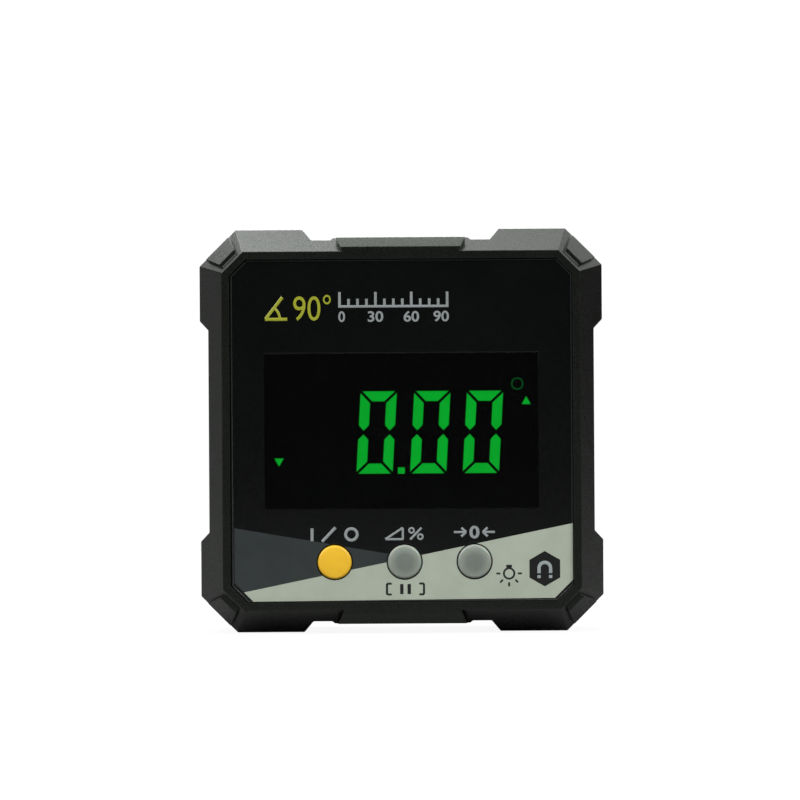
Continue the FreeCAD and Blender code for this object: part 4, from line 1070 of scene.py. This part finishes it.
plasticRough = (0.4, 0.5)
white = dict(colour=shade(225, 226, 222), second=shade(216, 218, 214))
green = dict(colour=shade(22, 74, 44), second=shade(28, 84, 50))
tan = dict(colour=shade(150, 120, 86), second=shade(162, 130, 96))
blackRubber = likeRubber("blackRubber")
greyRubber = likeRubber("greyRubber", colour=shade(110, 112, 112), second=shade(122, 124, 124))
blackPlastic = likeRubber("blackPlastic", rough=plasticRough, colour=shade(20, 20, 21))
whitePlastic = likeRubber("whitePlastic", rough=plasticRough, **white)
boardGreen = likeRubber("boardGreen", rough=(0.3, 0.4), **green)
ceramicTan = likeRubber("ceramicTan", rough=plasticRough, **tan)
carried = {
    "lcd_glass": displayGlass,
    "lcd_holder": blackPlastic,
    "lcd_contacts": greyRubber,
    "lcd_backlight": whitePlastic,
    "backlight_leds": whitePlastic,
    "key_gasket": greyRubber,
    "tact_switches": blackPlastic,
    "power_plunger": whitePlastic,
    "hold_plunger": whitePlastic,
    "zero_plunger": whitePlastic,
    "circuit_board": boardGreen,
    "board_screws": screwSteel,
    "controller_chip": blackPlastic,
    "tilt_sensor": blackPlastic,
    "board_capacitors": ceramicTan,
    "case_seal": blackRubber,
    "door_seal": blackRubber,
}
for name, look in carried.items():
    nodes[name].data.materials.clear()
    nodes[name].data.materials.append(look)
print("carried nodes painted:", len(carried))

# Floor, light and camera

stage = dict(
    floorRadius=0.45,
    paper=0.92,
    # the floor tones below are what all but camera rays see: painted light and shade, palest just under the
    # object
    floorFront=0.12,
    floorBack=0.25,
    floorNear=0.3,
    floorFar=0.1,
    depthSpan=(-0.1, 0.04),
    nearSpan=(0.025, 0.08),
    worldLevel=0.02,
    backdrop=dict(place=(-0.16, 0.55, 0.25), half=(0.34, 0.35)),
    overheadLeft=dict(place=(-0.2, 0.27, 0.8), size=(0.5, 0.9), radiance=4.9),
    overheadRight=dict(place=(0.5, 0.38, 0.7), size=(0.9, 1.0), radiance=1.2),
    leftFront=dict(place=(-0.7, -0.55, 0.7), size=(0.7, 0.7), radiance=8.9),
    rightFront=dict(place=(0.7, -0.55, 0.7), size=(0.7, 0.7), radiance=8.9),
    rear=dict(place=(0, 0.5, 0.33), size=(0.5, 0.2), radiance=8.0),
    leftSide=dict(place=(-0.7, 0.4, 0.1), size=(0.35, 0.5), radiance=0.3),
)


def whiteBackground(name, seen, shadowTone):
    # white to the rays that seen names, and to all other light a dark paper with painted light and shade in
    # it, clear from its back
    made = bpy.data.materials.new(name)
    made.use_nodes = True
    tree = made.node_tree
    tree.nodes.clear()
    paths = node(tree, "LightPath").outputs
    share = paths[seen[0]]
    for way in seen[1:]:
        share = math2(tree, "MAXIMUM", share, paths[way])
    place = node(tree, "TexCoord").outputs["Object"]
    depth = node(tree, "SeparateXYZ", {0: place}).outputs["Y"]
    reach = node(tree, "VectorMath", {0: place}, operation="LENGTH").outputs["Value"]
    # painted light and shade for all but the named rays: darker in front of the object, paler behind it and
    # palest just under it
    dark = ramp(tree, depth, *stage["depthSpan"], stage["floorFront"], stage["floorBack"])
    near = ramp(tree, reach, *stage["nearSpan"], stage["floorNear"], stage["floorFar"])
    dark = math2(tree, "MAXIMUM", dark, near)
    paper = node(tree, "CombineColor", {0: dark, 1: dark, 2: dark}).outputs[0]
    tone = blendColour(tree, share, paper, shadowTone)
    diffuse = node(tree, "BsdfDiffuse", {"Color": tone}).outputs[0]
    white = node(tree, "Emission", {"Color": (1, 1, 1, 1), "Strength": 1.0}).outputs[0]
    share = math2(tree, "MULTIPLY", share, stage["paper"])
    mixed = node(tree, "MixShader", {0: share, 1: diffuse, 2: white}).outputs[0]
    behind = node(tree, "NewGeometry").outputs["Backfacing"]
    clear = node(tree, "BsdfTransparent").outputs[0]
    oneSided = node(tree, "MixShader", {0: behind, 1: mixed, 2: clear}).outputs[0]
    node(tree, "OutputMaterial", {"Surface": oneSided})
    return made


def paperFloor():
    radius, spot = stage["floorRadius"], (0, 0, -0.0001)
    bpy.ops.mesh.primitive_circle_add(vertices=96, radius=radius, fill_type="NGON", location=spot)
    floor = settle(bpy.context.object, "floor")
    floor.data.materials.append(whiteBackground("paperFloor", ["Is Camera Ray"], (0.8, 0.8, 0.8, 1)))


def backdrop():
    # stands behind the object, so that metal and glass have the white behind it to show
    half = stage["backdrop"]["half"]
    turn = (math.radians(90), 0, 0)
    bpy.ops.mesh.primitive_plane_add(size=2, location=stage["backdrop"]["place"], rotation=turn)
    bpy.context.object.scale = (*half, 1)
    sheet = settle(bpy.context.object, "backdrop")
    seen = ["Is Camera Ray", "Is Glossy Ray", "Is Transmission Ray"]
    sheet.data.materials.append(whiteBackground("paperBackdrop", seen, (1, 1, 1, 1)))


def whiteWorld():
    world = bpy.data.worlds.new("studio")
    world.use_nodes = True
    tree = world.node_tree
    tree.nodes.clear()
    seen = node(tree, "LightPath").outputs["Is Camera Ray"]
    strength = ramp(tree, seen, 0.0, 1.0, stage["worldLevel"], 1.0)
    light = node(tree, "Background", {"Color": (1, 1, 1, 1), "Strength": strength}).outputs[0]
    node(tree, "OutputWorld", {"Surface": light})
    bpy.context.scene.world = world


def lamp(name, place, size, radiance):
    # a soft box turned to the object, as bright as its radiance says
    bpy.ops.object.light_add(type="AREA", location=place)
    made = bpy.context.object
    made.name = name
    made.data.shape = "RECTANGLE"
    made.data.size, made.data.size_y = size
    made.data.energy = radiance * math.pi * size[0] * size[1]
    made.rotation_euler = (Vector(place) - middle).to_track_quat("Z", "Y").to_euler()


paperFloor()
backdrop()
whiteWorld()
for name in ("overheadLeft", "overheadRight", "leftFront", "rightFront", "leftSide", "rear"):
    lamp(name, **stage[name])

camera = dict(lens=200, sensor=36, away=0.674, roll=0.35, shift=(-0.0019, 0.0379))
turn = (math.radians(90), math.radians(camera["roll"]), 0)
bpy.ops.object.camera_add(location=(0, -camera["away"], middle.z), rotation=turn)
eye = bpy.context.object
eye.name = "camera"
eye.data.lens = camera["lens"]
eye.data.sensor_width = camera["sensor"]
eye.data.shift_x, eye.data.shift_y = camera["shift"]
eye.data.clip_start, eye.data.clip_end = 0.01, 10
bpy.context.scene.camera = eye
bpy.context.scene.view_settings.view_transform = "Standard"

print("scene ready")
